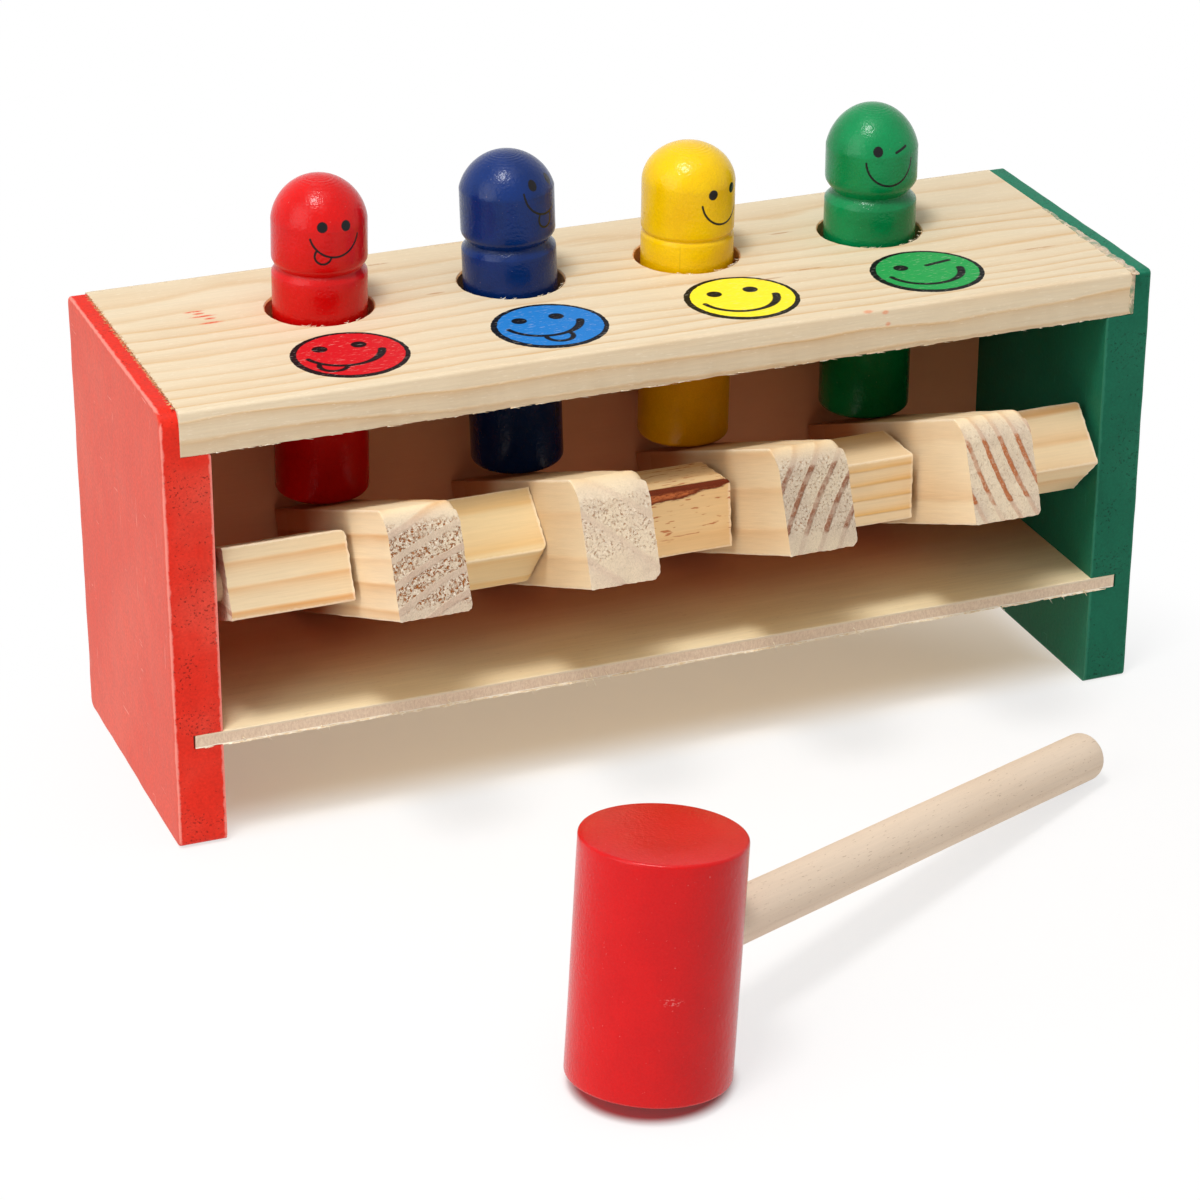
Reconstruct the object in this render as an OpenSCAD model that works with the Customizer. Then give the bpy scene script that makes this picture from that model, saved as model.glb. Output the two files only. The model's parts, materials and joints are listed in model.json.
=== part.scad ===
// Peg pounding bench with its mallet.
// Four pegs stand in a drilled top board, each on the rear arm of a rocking block.
// Hitting the front arm of a block throws its peg up through the board.
// Rocking blocks and loose square spacers share one hidden dowel.
// X runs along the bench, Y from front to back, Z up. The origin is on the table,
// in the middle of the space that the bench and the mallet take together.

/* [Bench] */
// Length of the bench over both end panels
bench_length = 260; // [230:1:400]
// Depth of the end panels, front to back
bench_depth = 83; // [78:0.5:120]
// Height from the table to the face of the top board
bench_height = 115; // [108:0.5:160]
// Thickness of the end panels
panel_thickness = 12; // [10:0.5:18]
// Corner radius at the front top of the left panel
soft_corner = 4.5; // [1:0.5:9]
// Radius of the left panel's other corners
worn_corner = 2.5; // [1:0.5:6]
// Radius of the right panel's corners
crisp_corner = 1.2; // [0.6:0.2:6]

/* [Boards] */
// Thickness of the top board
top_thickness = 11.5; // [8:0.5:16]
// What is left of each end panel outside the top board's end
rebate_lip = 4.6; // [3:0.2:6]
// Thickness of the thin floor board and back board
ply_thickness = 3.7; // [3:0.1:5]
// Height from the table to the underside of the floor board
floor_height = 26.8; // [20:0.2:32]
// How far the thin boards run into each end panel
groove_depth = 7; // [4:0.5:7]
// Slack at the bottom of each groove
groove_slack = 0.1; // [0.1:0.1:0.5]

/* [Blocks] */
// Diameter of the dowel that carries the blocks
axle_diameter = 8; // [6:0.5:9]
// Depth of the blind hole for the dowel in each end panel
axle_seat_depth = 8; // [5:0.5:8]
// Distance of the dowel behind the front edge of the end panels
axle_setback = 8.5; // [8:0.5:12]
// Height of the dowel above the table
axle_height = 65.4; // [60:0.2:70]
// Radial gap between the dowel and each block's bore
axle_running_gap = 0.1; // [0.05:0.01:0.1]
// Width of a rocking block along the dowel
rocker_width = 18; // [12:0.5:24]
// Height of a rocking block
rocker_height = 26.4; // [22:0.2:28]
// Length of a rocking block in front of the dowel
rocker_front = 38.4; // [30:0.2:50]
// Length of a rocking block behind the dowel
rocker_rear = 58.4; // [57:0.2:64]
// Radius of a rocking block's rounded nose
rocker_nose = 6; // [2:0.5:9]
// Side of the square spacer blocks
spacer_side = 17.5; // [14:0.5:22]
// Side play between neighbouring blocks
block_play = 1.25; // [0.4:0.05:3]
// Side play between each end panel and the outer spacer
end_play = 3.25; // [1:0.05:5]
// Gap between a resting rocking block and the floor board
rocker_rest_gap = 0.2; // [0.1:0.05:0.5]
// Gap between the sweep of the rear arms and the back board
back_gap = 0.7; // [0.4:0.1:2]

/* [Pegs] */
// Diameter of a peg
peg_diameter = 23.8; // [18:0.2:25]
// Length of a peg from its flat foot to the top of its dome
peg_length = 83; // [76:0.5:100]
// How much shorter the yellow peg was cut
short_cut = 4; // [1:0.5:6]
// Distance from the dome's top down to the bottom of the neck groove
neck_drop = 22.8; // [18:0.2:28]
// Depth of the neck groove
neck_depth = 1.1; // [0.5:0.1:2]
// Height of the groove's slope on the head side
neck_upper = 1.3; // [0.8:0.1:2]
// Height of the groove's slope on the body side
neck_lower = 2.2; // [1:0.1:4]
// Radius of the rim round a peg's foot
foot_round = 1.5; // [0.5:0.1:3]
// Radial gap between a peg and its hole
hole_gap = 1.6; // [1.2:0.1:2.5]
// Distance of the row of holes behind the dowel
hole_reach = 43.9; // [38:0.2:44]
// Gap between a peg's foot and the arm it stands on
peg_rest_gap = 0.3; // [0.1:0.05:0.5]

/* [Mallet] */
// Diameter of the mallet's head
head_diameter = 37.4; // [30:0.2:50]
// Length of the mallet's head
head_length = 56.6; // [45:0.2:80]
// Width of the eased edge round both faces of the head
head_edge = 0.8; // [0.4:0.1:2]
// Diameter of the handle
handle_diameter = 12.4; // [10:0.2:16]
// Length of the handle from the bottom of its hole to its free end
handle_length = 184; // [140:1:220]
// Depth of the handle's blind hole in the head
handle_seat_depth = 24; // [18:0.5:28]
// Radius of the edge round the handle's free end
handle_end_round = 1.6; // [0.5:0.1:4]
// Place of the middle of the mallet's head, right of the middle of the bench
mallet_right = -60.6; // [-80:0.2:-40]
// Distance of the middle of the mallet's head in front of the bench's front
mallet_front = 135.2; // [120:0.2:160]
// Heading of the handle, counted from the bench's length
mallet_heading = 29.9; // [20:0.1:36]
// How far the head has rolled about the handle
mallet_roll = 2.3; // [0:0.1:4]

/* [Hidden] */
$fn = 96;

// Stations along the bench: four pegs with their rocking blocks, five spacers
stations = 4;
spacers = stations + 1;
// Where each rocking block has slid in its play, as a share of it, left to right
rocker_slip_shares = [0.8, -0.8, 0.7, 0.7];
// The same for the spacers, as shares of the play beside them
spacer_slip_shares = [-0.15, 0, 0, 0, 0.35];
// How each spacer has turned on the dowel
spacer_turns = [-24, -50, -7, -1, -45];
// How far each hole was drilled off its even place, as a share of the radial hole gap
hole_drift_shares = [0.62, 0.88, -0.44, 0.44];
// How far each peg leans in its hole, towards the right
peg_leans = [1, -1.9, 0.6, 0];
// Overrun of a cut past the faces that it opens
overrun = 1;

// Places of the boards
half_length = bench_length / 2;
half_depth = bench_depth / 2;
inner_half = half_length - panel_thickness;
inner_length = 2 * inner_half;
top_z = bench_height - top_thickness;
floor_top_z = floor_height + ply_thickness;
rebate_width = panel_thickness - rebate_lip;

// Chain of blocks along the dowel
spacer_length = (inner_length - stations * rocker_width
    - 2 * stations * block_play - 2 * end_play) / spacers;
station_pitch = spacer_length + rocker_width + 2 * block_play;
axle_y = axle_setback - half_depth;
bore_diameter = axle_diameter + 2 * axle_running_gap;
rear_reach = norm([rocker_rear, rocker_height / 2]);
rear_corner_angle = atan2(rocker_height / 2, rocker_rear);
rocker_tilt = rear_corner_angle
    - asin((axle_height - floor_top_z - rocker_rest_gap) / rear_reach);
back_front_y = axle_y + rear_reach + back_gap;

// Pegs and their holes
peg_radius = peg_diameter / 2;
hole_y = axle_y + hole_reach;
foot_y = hole_y - peg_radius + foot_round;
arm_top_z = axle_height + (foot_y - axle_y) * tan(rocker_tilt)
    + rocker_height / 2 / cos(rocker_tilt);
peg_foot_z = arm_top_z + (foot_round + peg_rest_gap) / cos(rocker_tilt) - foot_round;

// Mallet, resting on the rim of its head and on the end of its handle
head_radius = head_diameter / 2;
handle_radius = handle_diameter / 2;
handle_start = head_radius - handle_seat_depth;
handle_reach = handle_start + handle_length;
mallet_slope = atan2(head_length / 2 - handle_radius, handle_reach - head_radius);
head_upright = cos(mallet_roll) * cos(mallet_slope);
mallet_z = head_length / 2 * head_upright + head_radius * sqrt(1 - head_upright * head_upright);
mallet_y = -half_depth - mallet_front;
// How much the head's axis leans towards the back of the bench
head_back_lean = cos(mallet_roll) * sin(mallet_slope) * sin(mallet_heading)
    + sin(mallet_roll) * cos(mallet_heading);
head_front_y = mallet_y - head_length / 2 * abs(head_back_lean)
    - head_radius * sqrt(1 - head_back_lean * head_back_lean);

// Shift that brings the middle of the whole set to the origin
set_shift = -(head_front_y + half_depth) / 2;

pine = "#e9cfa0";
pale_pine = "#efdcb6";
ply = "#dcc49c";
beech = "#e2c8a4";
red_paint = "#d8201c";
panel_red = "#dc3326";
blue_paint = "#173a8f";
yellow_paint = "#f2c200";
green_paint = "#128a45";
panel_green = "#12684a";

function station_x(i) = (i - (stations - 1) / 2) * station_pitch;
function rocker_x(i) = station_x(i) + rocker_slip_shares[i] * block_play;
function hole_x(i) = station_x(i) + hole_drift_shares[i] * hole_gap;
function spacer_x(j) = (j - stations / 2) * station_pitch + spacer_slip_shares[j] * end_play;

module in_set() {
    translate([0, set_shift, 0]) children();
}

// Outline of an end panel, seen from the side, with its four corner radii
module panel_outline(front_top, others) {
    difference() {
        translate([-half_depth, 0]) square([bench_depth, bench_height]);
        corner_waste(-half_depth, bench_height, 1, -1, front_top);
        corner_waste(half_depth, bench_height, -1, -1, others);
        corner_waste(-half_depth, 0, 1, 1, others);
        corner_waste(half_depth, 0, -1, 1, others);
    }
}

// Waste outside a rounded corner; inward_x and inward_y point into the board
module corner_waste(x, y, inward_x, inward_y, radius) {
    translate([x, y]) scale([inward_x, inward_y]) difference() {
        translate([-overrun, -overrun]) square(radius + overrun);
        translate([radius, radius]) circle(radius);
    }
}

// The left end panel: rebate for the top board, grooves for the thin boards, dowel seat
module end_panel(front_top, others) {
    difference() {
        translate([-half_length, 0, 0]) rotate([90, 0, 90])
            linear_extrude(panel_thickness) panel_outline(front_top, others);
        translate([rebate_lip - half_length, -half_depth - overrun, top_z])
            cube([rebate_width + overrun, bench_depth + 2 * overrun, top_thickness + overrun]);
        translate([-inner_half - groove_depth, -half_depth - overrun, floor_height])
            cube([groove_depth + overrun, bench_depth + 2 * overrun, ply_thickness]);
        translate([-inner_half - groove_depth, back_front_y, floor_top_z])
            cube([groove_depth + overrun, ply_thickness, top_z - floor_top_z]);
        translate([-inner_half - axle_seat_depth, axle_y, axle_height]) rotate([0, 90, 0])
            cylinder(d = axle_diameter, h = axle_seat_depth + overrun);
    }
}

module left_end_panel() {
    color(panel_red) in_set() end_panel(soft_corner, worn_corner);
}

module right_end_panel() {
    color(panel_green) in_set() mirror([1, 0, 0]) end_panel(crisp_corner, crisp_corner);
}

module top_board() {
    color(pine) in_set() difference() {
        translate([rebate_lip - half_length, -half_depth, top_z])
            cube([bench_length - 2 * rebate_lip, bench_depth, top_thickness]);
        for (i = [0 : stations - 1])
            translate([hole_x(i), hole_y, top_z - overrun])
                cylinder(r = peg_radius + hole_gap, h = top_thickness + 2 * overrun);
    }
}

module floor_board() {
    half = inner_half + groove_depth - groove_slack;
    color(ply) in_set() translate([-half, -half_depth, floor_height])
        cube([2 * half, bench_depth, ply_thickness]);
}

module back_board() {
    half = inner_half + groove_depth - groove_slack;
    color(ply) in_set() translate([-half, back_front_y, floor_top_z])
        cube([2 * half, ply_thickness, top_z - floor_top_z]);
}

module axle_dowel() {
    half = inner_half + axle_seat_depth - groove_slack;
    color(beech) in_set() translate([-half, axle_y, axle_height]) rotate([0, 90, 0])
        cylinder(d = axle_diameter, h = 2 * half);
}

// Side outline of a rocking block about its bore, front arm towards -X
module rocker_outline() {
    half = rocker_height / 2;
    translate([rocker_nose - rocker_front, -half])
        square([rocker_front - rocker_nose + rocker_rear, rocker_height]);
    translate([-rocker_front, -half]) square([rocker_nose, rocker_height - rocker_nose]);
    translate([rocker_nose - rocker_front, half - rocker_nose]) circle(rocker_nose);
}

module rocker(i) {
    color(pine) in_set() translate([rocker_x(i), axle_y, axle_height])
        rotate([rocker_tilt, 0, 0]) difference() {
            rotate([90, 0, 90]) linear_extrude(rocker_width, center = true) rocker_outline();
            rotate([0, 90, 0])
                cylinder(d = bore_diameter, h = rocker_width + 2 * overrun, center = true);
        }
}

module spacer(j) {
    color(pale_pine) in_set() translate([spacer_x(j), axle_y, axle_height])
        rotate([spacer_turns[j], 0, 0]) difference() {
            cube([spacer_length, spacer_side, spacer_side], center = true);
            rotate([0, 90, 0])
                cylinder(d = bore_diameter, h = spacer_length + 2 * overrun, center = true);
        }
}

// Half outline of a peg: rounded foot, straight body, neck groove, head with a dome
module peg_outline(length) {
    neck_z = length - neck_drop;
    difference() {
        union() {
            translate([0, length - peg_radius]) intersection() {
                circle(peg_radius);
                square(peg_radius);
            }
            translate([0, foot_round])
                square([peg_radius, length - peg_radius - foot_round]);
            square([peg_radius - foot_round, foot_round]);
            translate([peg_radius - foot_round, foot_round]) intersection() {
                circle(foot_round);
                translate([0, -foot_round]) square(foot_round);
            }
        }
        polygon([
            [peg_radius - neck_depth, neck_z],
            [peg_radius, neck_z + neck_upper],
            [peg_radius + overrun, neck_z + neck_upper],
            [peg_radius + overrun, neck_z - neck_lower],
            [peg_radius, neck_z - neck_lower]
        ]);
    }
}

// A peg in its hole; it leans about the middle of the top board's thickness
module peg(i, paint, length) {
    pivot_z = top_z + top_thickness / 2;
    color(paint) in_set() translate([hole_x(i), hole_y, pivot_z])
        rotate([0, peg_leans[i], 0]) translate([0, 0, peg_foot_z - pivot_z])
            rotate_extrude() peg_outline(length);
}

// Places a mallet piece: the handle runs along +X and the head's axis along Z
module on_mallet() {
    in_set() translate([mallet_right, mallet_y, mallet_z])
        rotate([-mallet_roll, mallet_slope, mallet_heading]) children();
}

module mallet_head() {
    color(red_paint) on_mallet() difference() {
        rotate_extrude() polygon([
            [0, -head_length / 2],
            [head_radius - head_edge, -head_length / 2],
            [head_radius, head_edge - head_length / 2],
            [head_radius, head_length / 2 - head_edge],
            [head_radius - head_edge, head_length / 2],
            [0, head_length / 2]
        ]);
        translate([handle_start, 0, 0]) rotate([0, 90, 0])
            cylinder(d = handle_diameter, h = handle_seat_depth + overrun);
    }
}

module mallet_handle() {
    color(beech) on_mallet() translate([handle_start, 0, 0]) rotate([0, 90, 0])
        rotate_extrude() {
            square([handle_radius, handle_length - handle_end_round]);
            square([handle_radius - handle_end_round, handle_length]);
            translate([handle_radius - handle_end_round, handle_length - handle_end_round])
                intersection() {
                    circle(handle_end_round);
                    square(handle_end_round);
                }
        }
}

module rocker_red() { rocker(0); }
module rocker_blue() { rocker(1); }
module rocker_yellow() { rocker(2); }
module rocker_green() { rocker(3); }
module spacer_1() { spacer(0); }
module spacer_2() { spacer(1); }
module spacer_3() { spacer(2); }
module spacer_4() { spacer(3); }
module spacer_5() { spacer(4); }
module peg_red() { peg(0, red_paint, peg_length); }
module peg_blue() { peg(1, blue_paint, peg_length); }
module peg_yellow() { peg(2, yellow_paint, peg_length - short_cut); }
module peg_green() { peg(3, green_paint, peg_length); }

left_end_panel();
right_end_panel();
top_board();
floor_board();
back_board();
axle_dowel();
rocker_red();
rocker_blue();
rocker_yellow();
rocker_green();
spacer_1();
spacer_2();
spacer_3();
spacer_4();
spacer_5();
peg_red();
peg_blue();
peg_yellow();
peg_green();
mallet_head();
mallet_handle();
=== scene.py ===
# %% [markdown]
# # A peg pounding bench with its mallet
# The real toy is glued up from two painted fibreboard ends, a planed pine board with four
# holes, two thin plywood boards and a dowel. Nine sawn pine blocks ride on the dowel. Four
# lacquered pegs stand in the holes, and a lacquered mallet stands in front.
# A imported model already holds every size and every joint. This script loads it as a fixed
# frame and builds the surfaces that the eye sees round it, one piece at a time.

import json
import math
import random

import bmesh
import bpy
from mathutils import Euler, Matrix, Vector, noise


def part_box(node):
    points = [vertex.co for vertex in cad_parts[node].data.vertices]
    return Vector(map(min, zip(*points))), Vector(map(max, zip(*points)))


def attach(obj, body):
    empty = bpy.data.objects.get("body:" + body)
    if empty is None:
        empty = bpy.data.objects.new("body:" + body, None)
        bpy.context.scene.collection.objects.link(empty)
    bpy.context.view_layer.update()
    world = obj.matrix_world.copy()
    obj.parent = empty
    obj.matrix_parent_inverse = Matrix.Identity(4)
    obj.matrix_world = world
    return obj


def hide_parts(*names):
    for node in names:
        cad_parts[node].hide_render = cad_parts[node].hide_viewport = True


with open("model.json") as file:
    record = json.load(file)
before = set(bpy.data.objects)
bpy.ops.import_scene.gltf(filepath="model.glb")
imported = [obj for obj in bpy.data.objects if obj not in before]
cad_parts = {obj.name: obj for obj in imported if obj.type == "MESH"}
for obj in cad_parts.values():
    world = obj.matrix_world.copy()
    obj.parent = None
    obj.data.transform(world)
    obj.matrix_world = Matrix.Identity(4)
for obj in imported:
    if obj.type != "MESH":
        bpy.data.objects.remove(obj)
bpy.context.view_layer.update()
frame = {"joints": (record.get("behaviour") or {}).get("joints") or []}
joints = {joint["name"]: joint for joint in frame["joints"]}

# %% [markdown]
# Sizes are written in millimetres, because that is how a joiner reads them, and turned into
# metres by one factor. Places come from the frame wherever the frame knows them.

# %% Places taken from the frame
MM = 0.001
TINY = 0.01 * MM
COLOURS = ["red", "blue", "yellow", "green"]
left_low, left_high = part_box("left_end_panel")
right_low, right_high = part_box("right_end_panel")
board_low, board_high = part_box("top_board")
floor_low, floor_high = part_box("floor_board")
back_low, back_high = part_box("back_board")
dowel_low, dowel_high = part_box("axle_dowel")
bench_y = (left_low.y + left_high.y) / 2
bench_depth = left_high.y - left_low.y
panel_thickness = left_high.x - left_low.x
bench_length = right_high.x - left_low.x
pivots = {colour: Vector(joints["rocker_" + colour + "_tilt"]["pos_m"]) for colour in COLOURS}
print("bench length in mm:", round(bench_length / MM, 1))

# %% [markdown]
# The camera stands where the photographer stood: left of the bench, above it and more than
# a metre away with a long lens. The angles were solved from the corners of the bench. It is
# placed first, so that every later step can be checked in the picture.

# %% Camera
camera_lens = 118.37
camera_azimuth = math.radians(-21.745)
camera_elevation = math.radians(25.763)
camera_roll = math.radians(-0.189)
camera_distance = 1027.26 * MM
camera_aim = Vector((-3.535 * MM, bench_y, 26.881 * MM))


def camera_matrix():
    """Place and turn of the camera from its angles, distance and aim."""
    back = Vector((
        math.sin(camera_azimuth) * math.cos(camera_elevation),
        -math.cos(camera_azimuth) * math.cos(camera_elevation),
        math.sin(camera_elevation),
    ))
    right = Vector((0, 0, 1)).cross(back).normalized()
    upward = back.cross(right)
    turned = Matrix((right, upward, back)).transposed().to_4x4()
    roll = Matrix.Rotation(camera_roll, 4, "Z")
    return Matrix.Translation(camera_aim + back * camera_distance) @ turned @ roll.inverted()


camera_data = bpy.data.cameras.new("photo_camera")
camera_data.lens = camera_lens
camera_data.sensor_width = 36
camera = bpy.data.objects.new("photo_camera", camera_data)
camera.matrix_world = camera_matrix()
bpy.context.scene.collection.objects.link(camera)
bpy.context.scene.camera = camera
bpy.context.scene.view_settings.view_transform = "Standard"
print("camera stands at", [round(value, 3) for value in camera.matrix_world.translation])

# %% [markdown]
# Materials are built from nodes. Wiring nodes by hand takes many lines, so one small class
# gives each common node a short call. It holds no look of its own.

# %% Short calls for wiring nodes


class Graph:
    """Adds and wires nodes in one node tree."""

    def __init__(self, tree):
        self.tree = tree

    def add(self, kind, **settings):
        made = self.tree.nodes.new(kind)
        for name, value in settings.items():
            setattr(made, name, value)
        return made

    def feed(self, socket, value):
        if isinstance(value, bpy.types.NodeSocket):
            self.tree.links.new(value, socket)
        else:
            socket.default_value = value

    def maths(self, operation, *values, clamp=False):
        made = self.add("ShaderNodeMath", operation=operation, use_clamp=clamp)
        for socket, value in zip(made.inputs, values):
            self.feed(socket, value)
        return made.outputs[0]

    def times(self, first, *others, clamp=False):
        """The product of two or more values."""
        for value in others:
            first = self.maths("MULTIPLY", first, value, clamp=clamp)
        return first

    def most(self, first, *others):
        """The largest of two or more values."""
        for value in others:
            first = self.maths("MAXIMUM", first, value)
        return first

    def less(self, value, taken):
        return self.maths("SUBTRACT", value, taken)

    def flip(self, value):
        return self.less(1.0, value)

    def vectors(self, operation, *values):
        made = self.add("ShaderNodeVectorMath", operation=operation)
        for socket, value in zip(made.inputs, values):
            self.feed(socket, value)
        single = operation in {"LENGTH", "DISTANCE", "DOT_PRODUCT"}
        return made.outputs["Value" if single else "Vector"]

    def split(self, vector):
        made = self.add("ShaderNodeSeparateXYZ")
        self.feed(made.inputs[0], vector)
        return made.outputs[0], made.outputs[1], made.outputs[2]

    def join(self, x, y, z):
        made = self.add("ShaderNodeCombineXYZ")
        for socket, value in zip(made.inputs, (x, y, z)):
            self.feed(socket, value)
        return made.outputs[0]

    def triple(self, value):
        return self.join(value, value, value)

    def reach(self, x, y):
        """Distance from the Z axis."""
        return self.vectors("LENGTH", self.join(x, y, 0.0))

    def end_grain(self):
        """1 where a face cuts squarely across the grain, 0 where it runs along it."""
        return self.add("ShaderNodeAttribute", attribute_name="end_grain").outputs["Fac"]

    def noise(self, vector, per_metre, detail=2.0, roughness=0.5):
        """Noise with so many grains to the metre, as one number or one for each axis."""
        if isinstance(per_metre, int):
            per_metre = (per_metre, per_metre, per_metre)
        made = self.add("ShaderNodeTexNoise")
        self.feed(made.inputs["Vector"], self.vectors("MULTIPLY", vector, per_metre))
        made.inputs["Scale"].default_value = 1.0
        made.inputs["Detail"].default_value = detail
        made.inputs["Roughness"].default_value = roughness
        return made.outputs[0]

    def smooth(self, value, low, high):
        made = self.add("ShaderNodeMapRange", interpolation_type="SMOOTHSTEP")
        self.feed(made.inputs["Value"], value)
        self.feed(made.inputs["From Min"], low)
        self.feed(made.inputs["From Max"], high)
        return made.outputs[0]

    def fall(self, value, low, high):
        """1 below the low value, 0 above the high one, smooth between."""
        return self.flip(self.smooth(value, low, high))

    def spread(self, value, low, high):
        """Turns a value from 0 to 1 into one from low to high."""
        return self.maths("MULTIPLY_ADD", value, high - low, low)

    def patches(self, vector, per_metre, low, high, detail=2.0, roughness=0.5):
        """1 in the patches where noise lies above two close levels, 0 elsewhere."""
        return self.smooth(self.noise(vector, per_metre, detail, roughness), low, high)

    def between(self, value, low, high, soft):
        """1 between two values, 0 outside, with soft ends."""
        return self.times(self.smooth(value, low - soft, low + soft),
                          self.fall(value, high - soft, high + soft))

    def mix(self, factor, first, second, mode="MIX"):
        made = self.add("ShaderNodeMix", data_type="RGBA", blend_type=mode)
        self.feed(made.inputs[0], factor)
        self.feed(made.inputs[6], first)
        self.feed(made.inputs[7], second)
        return made.outputs[2]

    def shade(self, colour, value):
        """Multiplies a colour by a grey value."""
        return self.mix(1.0, colour, self.triple(value), "MULTIPLY")

    def vary(self, colour, value, low, high):
        """Multiplies a colour by a value from 0 to 1 that is spread from low to high."""
        return self.shade(colour, self.spread(value, low, high))

    def cover(self, colour, other, *masks):
        """Lays another colour over a colour, as strongly as the masks' product."""
        return self.mix(self.times(*masks), colour, other)

    def place(self, group, values):
        made = self.add("ShaderNodeGroup")
        made.node_tree = group
        for name, value in values.items():
            self.feed(made.inputs[name], value)
        return made.outputs


def new_group(name, inputs, outputs):
    """An empty node group with named sockets; gives its graph, inputs and outputs."""
    tree = bpy.data.node_groups.new(name, "ShaderNodeTree")
    for label, default in inputs.items():
        kind = "NodeSocketFloat" if isinstance(default, float) else "NodeSocketVector"
        socket = tree.interface.new_socket(name=label, in_out="INPUT", socket_type=kind)
        socket.default_value = default
    for label in outputs:
        tree.interface.new_socket(name=label, in_out="OUTPUT", socket_type="NodeSocketFloat")
    graph = Graph(tree)
    return graph, graph.add("NodeGroupInput").outputs, graph.add("NodeGroupOutput").inputs


def ink(red, green, blue):
    """A colour as a screen shows it, from 0 to 255, turned into light for the shader."""
    def light(value):
        share = value / 255
        return share / 12.92 if share <= 0.04045 else ((share + 0.055) / 1.055) ** 2.4
    return light(red), light(green), light(blue), 1.0


print("white turns into", ink(255, 255, 255))

# %% [markdown]
# The toy was photographed on a white table that fades into a white room. The floor is a real
# surface, so it keeps the soft shadow, but for camera and mirror rays it is mixed with plain
# white: least under the bench and the mallet, more beside them, and wholly a little further
# off. That gives the white ground without any more light. Under the bench the table and that
# white are painted warm, a painted warm shade. Under the mallet's head the table is painted
# dark red, a painted shadow and reflection of the red head, but only while the head is close
# above it, so that place asks how much of its sky is covered.

# %% Floor and white room
white = (1.0, 1.0, 1.0, 1.0)
floor_size = 8.0
floor_colour = ink(246, 244, 242)
warm_shade = ink(250, 229, 192)
red_shadow_reflection = ink(204, 26, 36)
warm_shade_glow = ink(255, 240, 222)
mallet_lean = Vector((-1.3 * MM, -0.6 * MM, 0))
cover_reach = 15 * MM
under_bench = (-22 * MM, 3 * MM)
red_edge = (16.3 * MM, 20.5 * MM)
soft_edge = (18 * MM, 34 * MM)
fade_centre = (-20 * MM, -20 * MM, 0)
fade_out = (130 * MM, 220 * MM)
white_near = (0.28, 0.72)
white_at_foot = 0.05


def seen_directly(graph):
    """1 for rays that look straight at a surface, in a mirror or through glass."""
    rays = graph.add("ShaderNodeLightPath").outputs
    return graph.most(rays["Is Camera Ray"], rays["Is Glossy Ray"], rays["Is Transmission Ray"])


def floor_material():
    material = bpy.data.materials.new("white_table")
    material.use_nodes = True
    graph = Graph(material.node_tree)
    surface = material.node_tree.nodes["Principled BSDF"]
    surface.inputs["Roughness"].default_value = 0.75
    place = graph.add("ShaderNodeTexCoord").outputs["Object"]
    speck = graph.noise(place, 90, 3.0)
    x, y, _ = graph.split(graph.vectors("SUBTRACT", place, (0, bench_y, 0)))
    beyond_end = graph.less(graph.maths("ABSOLUTE", x), bench_length / 2)
    beyond_side = graph.less(graph.maths("ABSOLUTE", y), bench_depth / 2)
    beside = graph.smooth(graph.most(beyond_end, beyond_side), *under_bench)
    mallet_low, mallet_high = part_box("mallet_head")
    foot = (mallet_low + mallet_high) / 2 + mallet_lean
    foot.z = 0
    from_foot = graph.vectors("DISTANCE", place, foot)
    covered = graph.add("ShaderNodeAmbientOcclusion", samples=8)
    covered.inputs["Distance"].default_value = cover_reach
    covered = graph.fall(covered.outputs["AO"], 0.55, 0.85)
    under_mallet = graph.times(graph.fall(from_foot, *red_edge), covered)
    # Painted shade: warm under the bench, and dark red under the mallet's head, a painted shadow
    # and reflection of the head.
    tone = graph.mix(beside, warm_shade, floor_colour)
    tone = graph.mix(under_mallet, tone, red_shadow_reflection)
    graph.feed(surface.inputs["Base Color"], graph.vary(tone, speck, 0.985, 1.0))
    far = graph.smooth(graph.vectors("DISTANCE", place, fade_centre), *fade_out)
    near = graph.spread(beside, *white_near)
    soft = graph.spread(graph.smooth(from_foot, *soft_edge), 0.5, 1.0)
    whiteness = graph.maths("MULTIPLY_ADD", graph.flip(near), graph.times(far, soft), near)
    whiteness = graph.times(whiteness, graph.spread(under_mallet, 1.0, white_at_foot))
    whiteness = graph.times(seen_directly(graph), whiteness)
    glow = graph.add("ShaderNodeEmission")
    # The white is painted warm under the bench, a painted warm shade.
    graph.feed(glow.inputs["Color"], graph.mix(beside, warm_shade_glow, white))
    mixed = graph.add("ShaderNodeMixShader")
    graph.feed(mixed.inputs[0], whiteness)
    graph.feed(mixed.inputs[1], surface.outputs[0])
    graph.feed(mixed.inputs[2], glow.outputs[0])
    graph.feed(material.node_tree.nodes["Material Output"].inputs["Surface"], mixed.outputs[0])
    return material


def lay_floor():
    bm = bmesh.new()
    bmesh.ops.create_grid(bm, x_segments=2, y_segments=2, size=floor_size / 2)
    mesh = bpy.data.meshes.new("white_table")
    bm.to_mesh(mesh)
    bm.free()
    mesh.materials.append(floor_material())
    table = bpy.data.objects.new("white_table", mesh)
    bpy.context.scene.collection.objects.link(table)
    return table


print("floor:", lay_floor().dimensions[:])

# %% [markdown]
# The light is soft and comes mostly from above. A small lamp hangs over the bench, a little
# towards the camera and the left, and makes the highlights. A wide one above it softens the
# shadows, a third stands on the left, and a dim even room fills the rest. The front
# stays darker than the top, and the inside darker still, as in any box.

# %% Lamps and room light
room_strength = 0.31
lamps = {
    "overhead": {"place": (-0.36, -0.28, 1.32), "size": 0.28, "power": 10.4},
    "canopy": {"place": (-0.25, -0.2, 1.5), "size": 1.3, "power": 5.2},
    "left_side": {"place": (-1.5, -0.45, 0.8), "size": 1.3, "power": 10.3},
}


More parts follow.
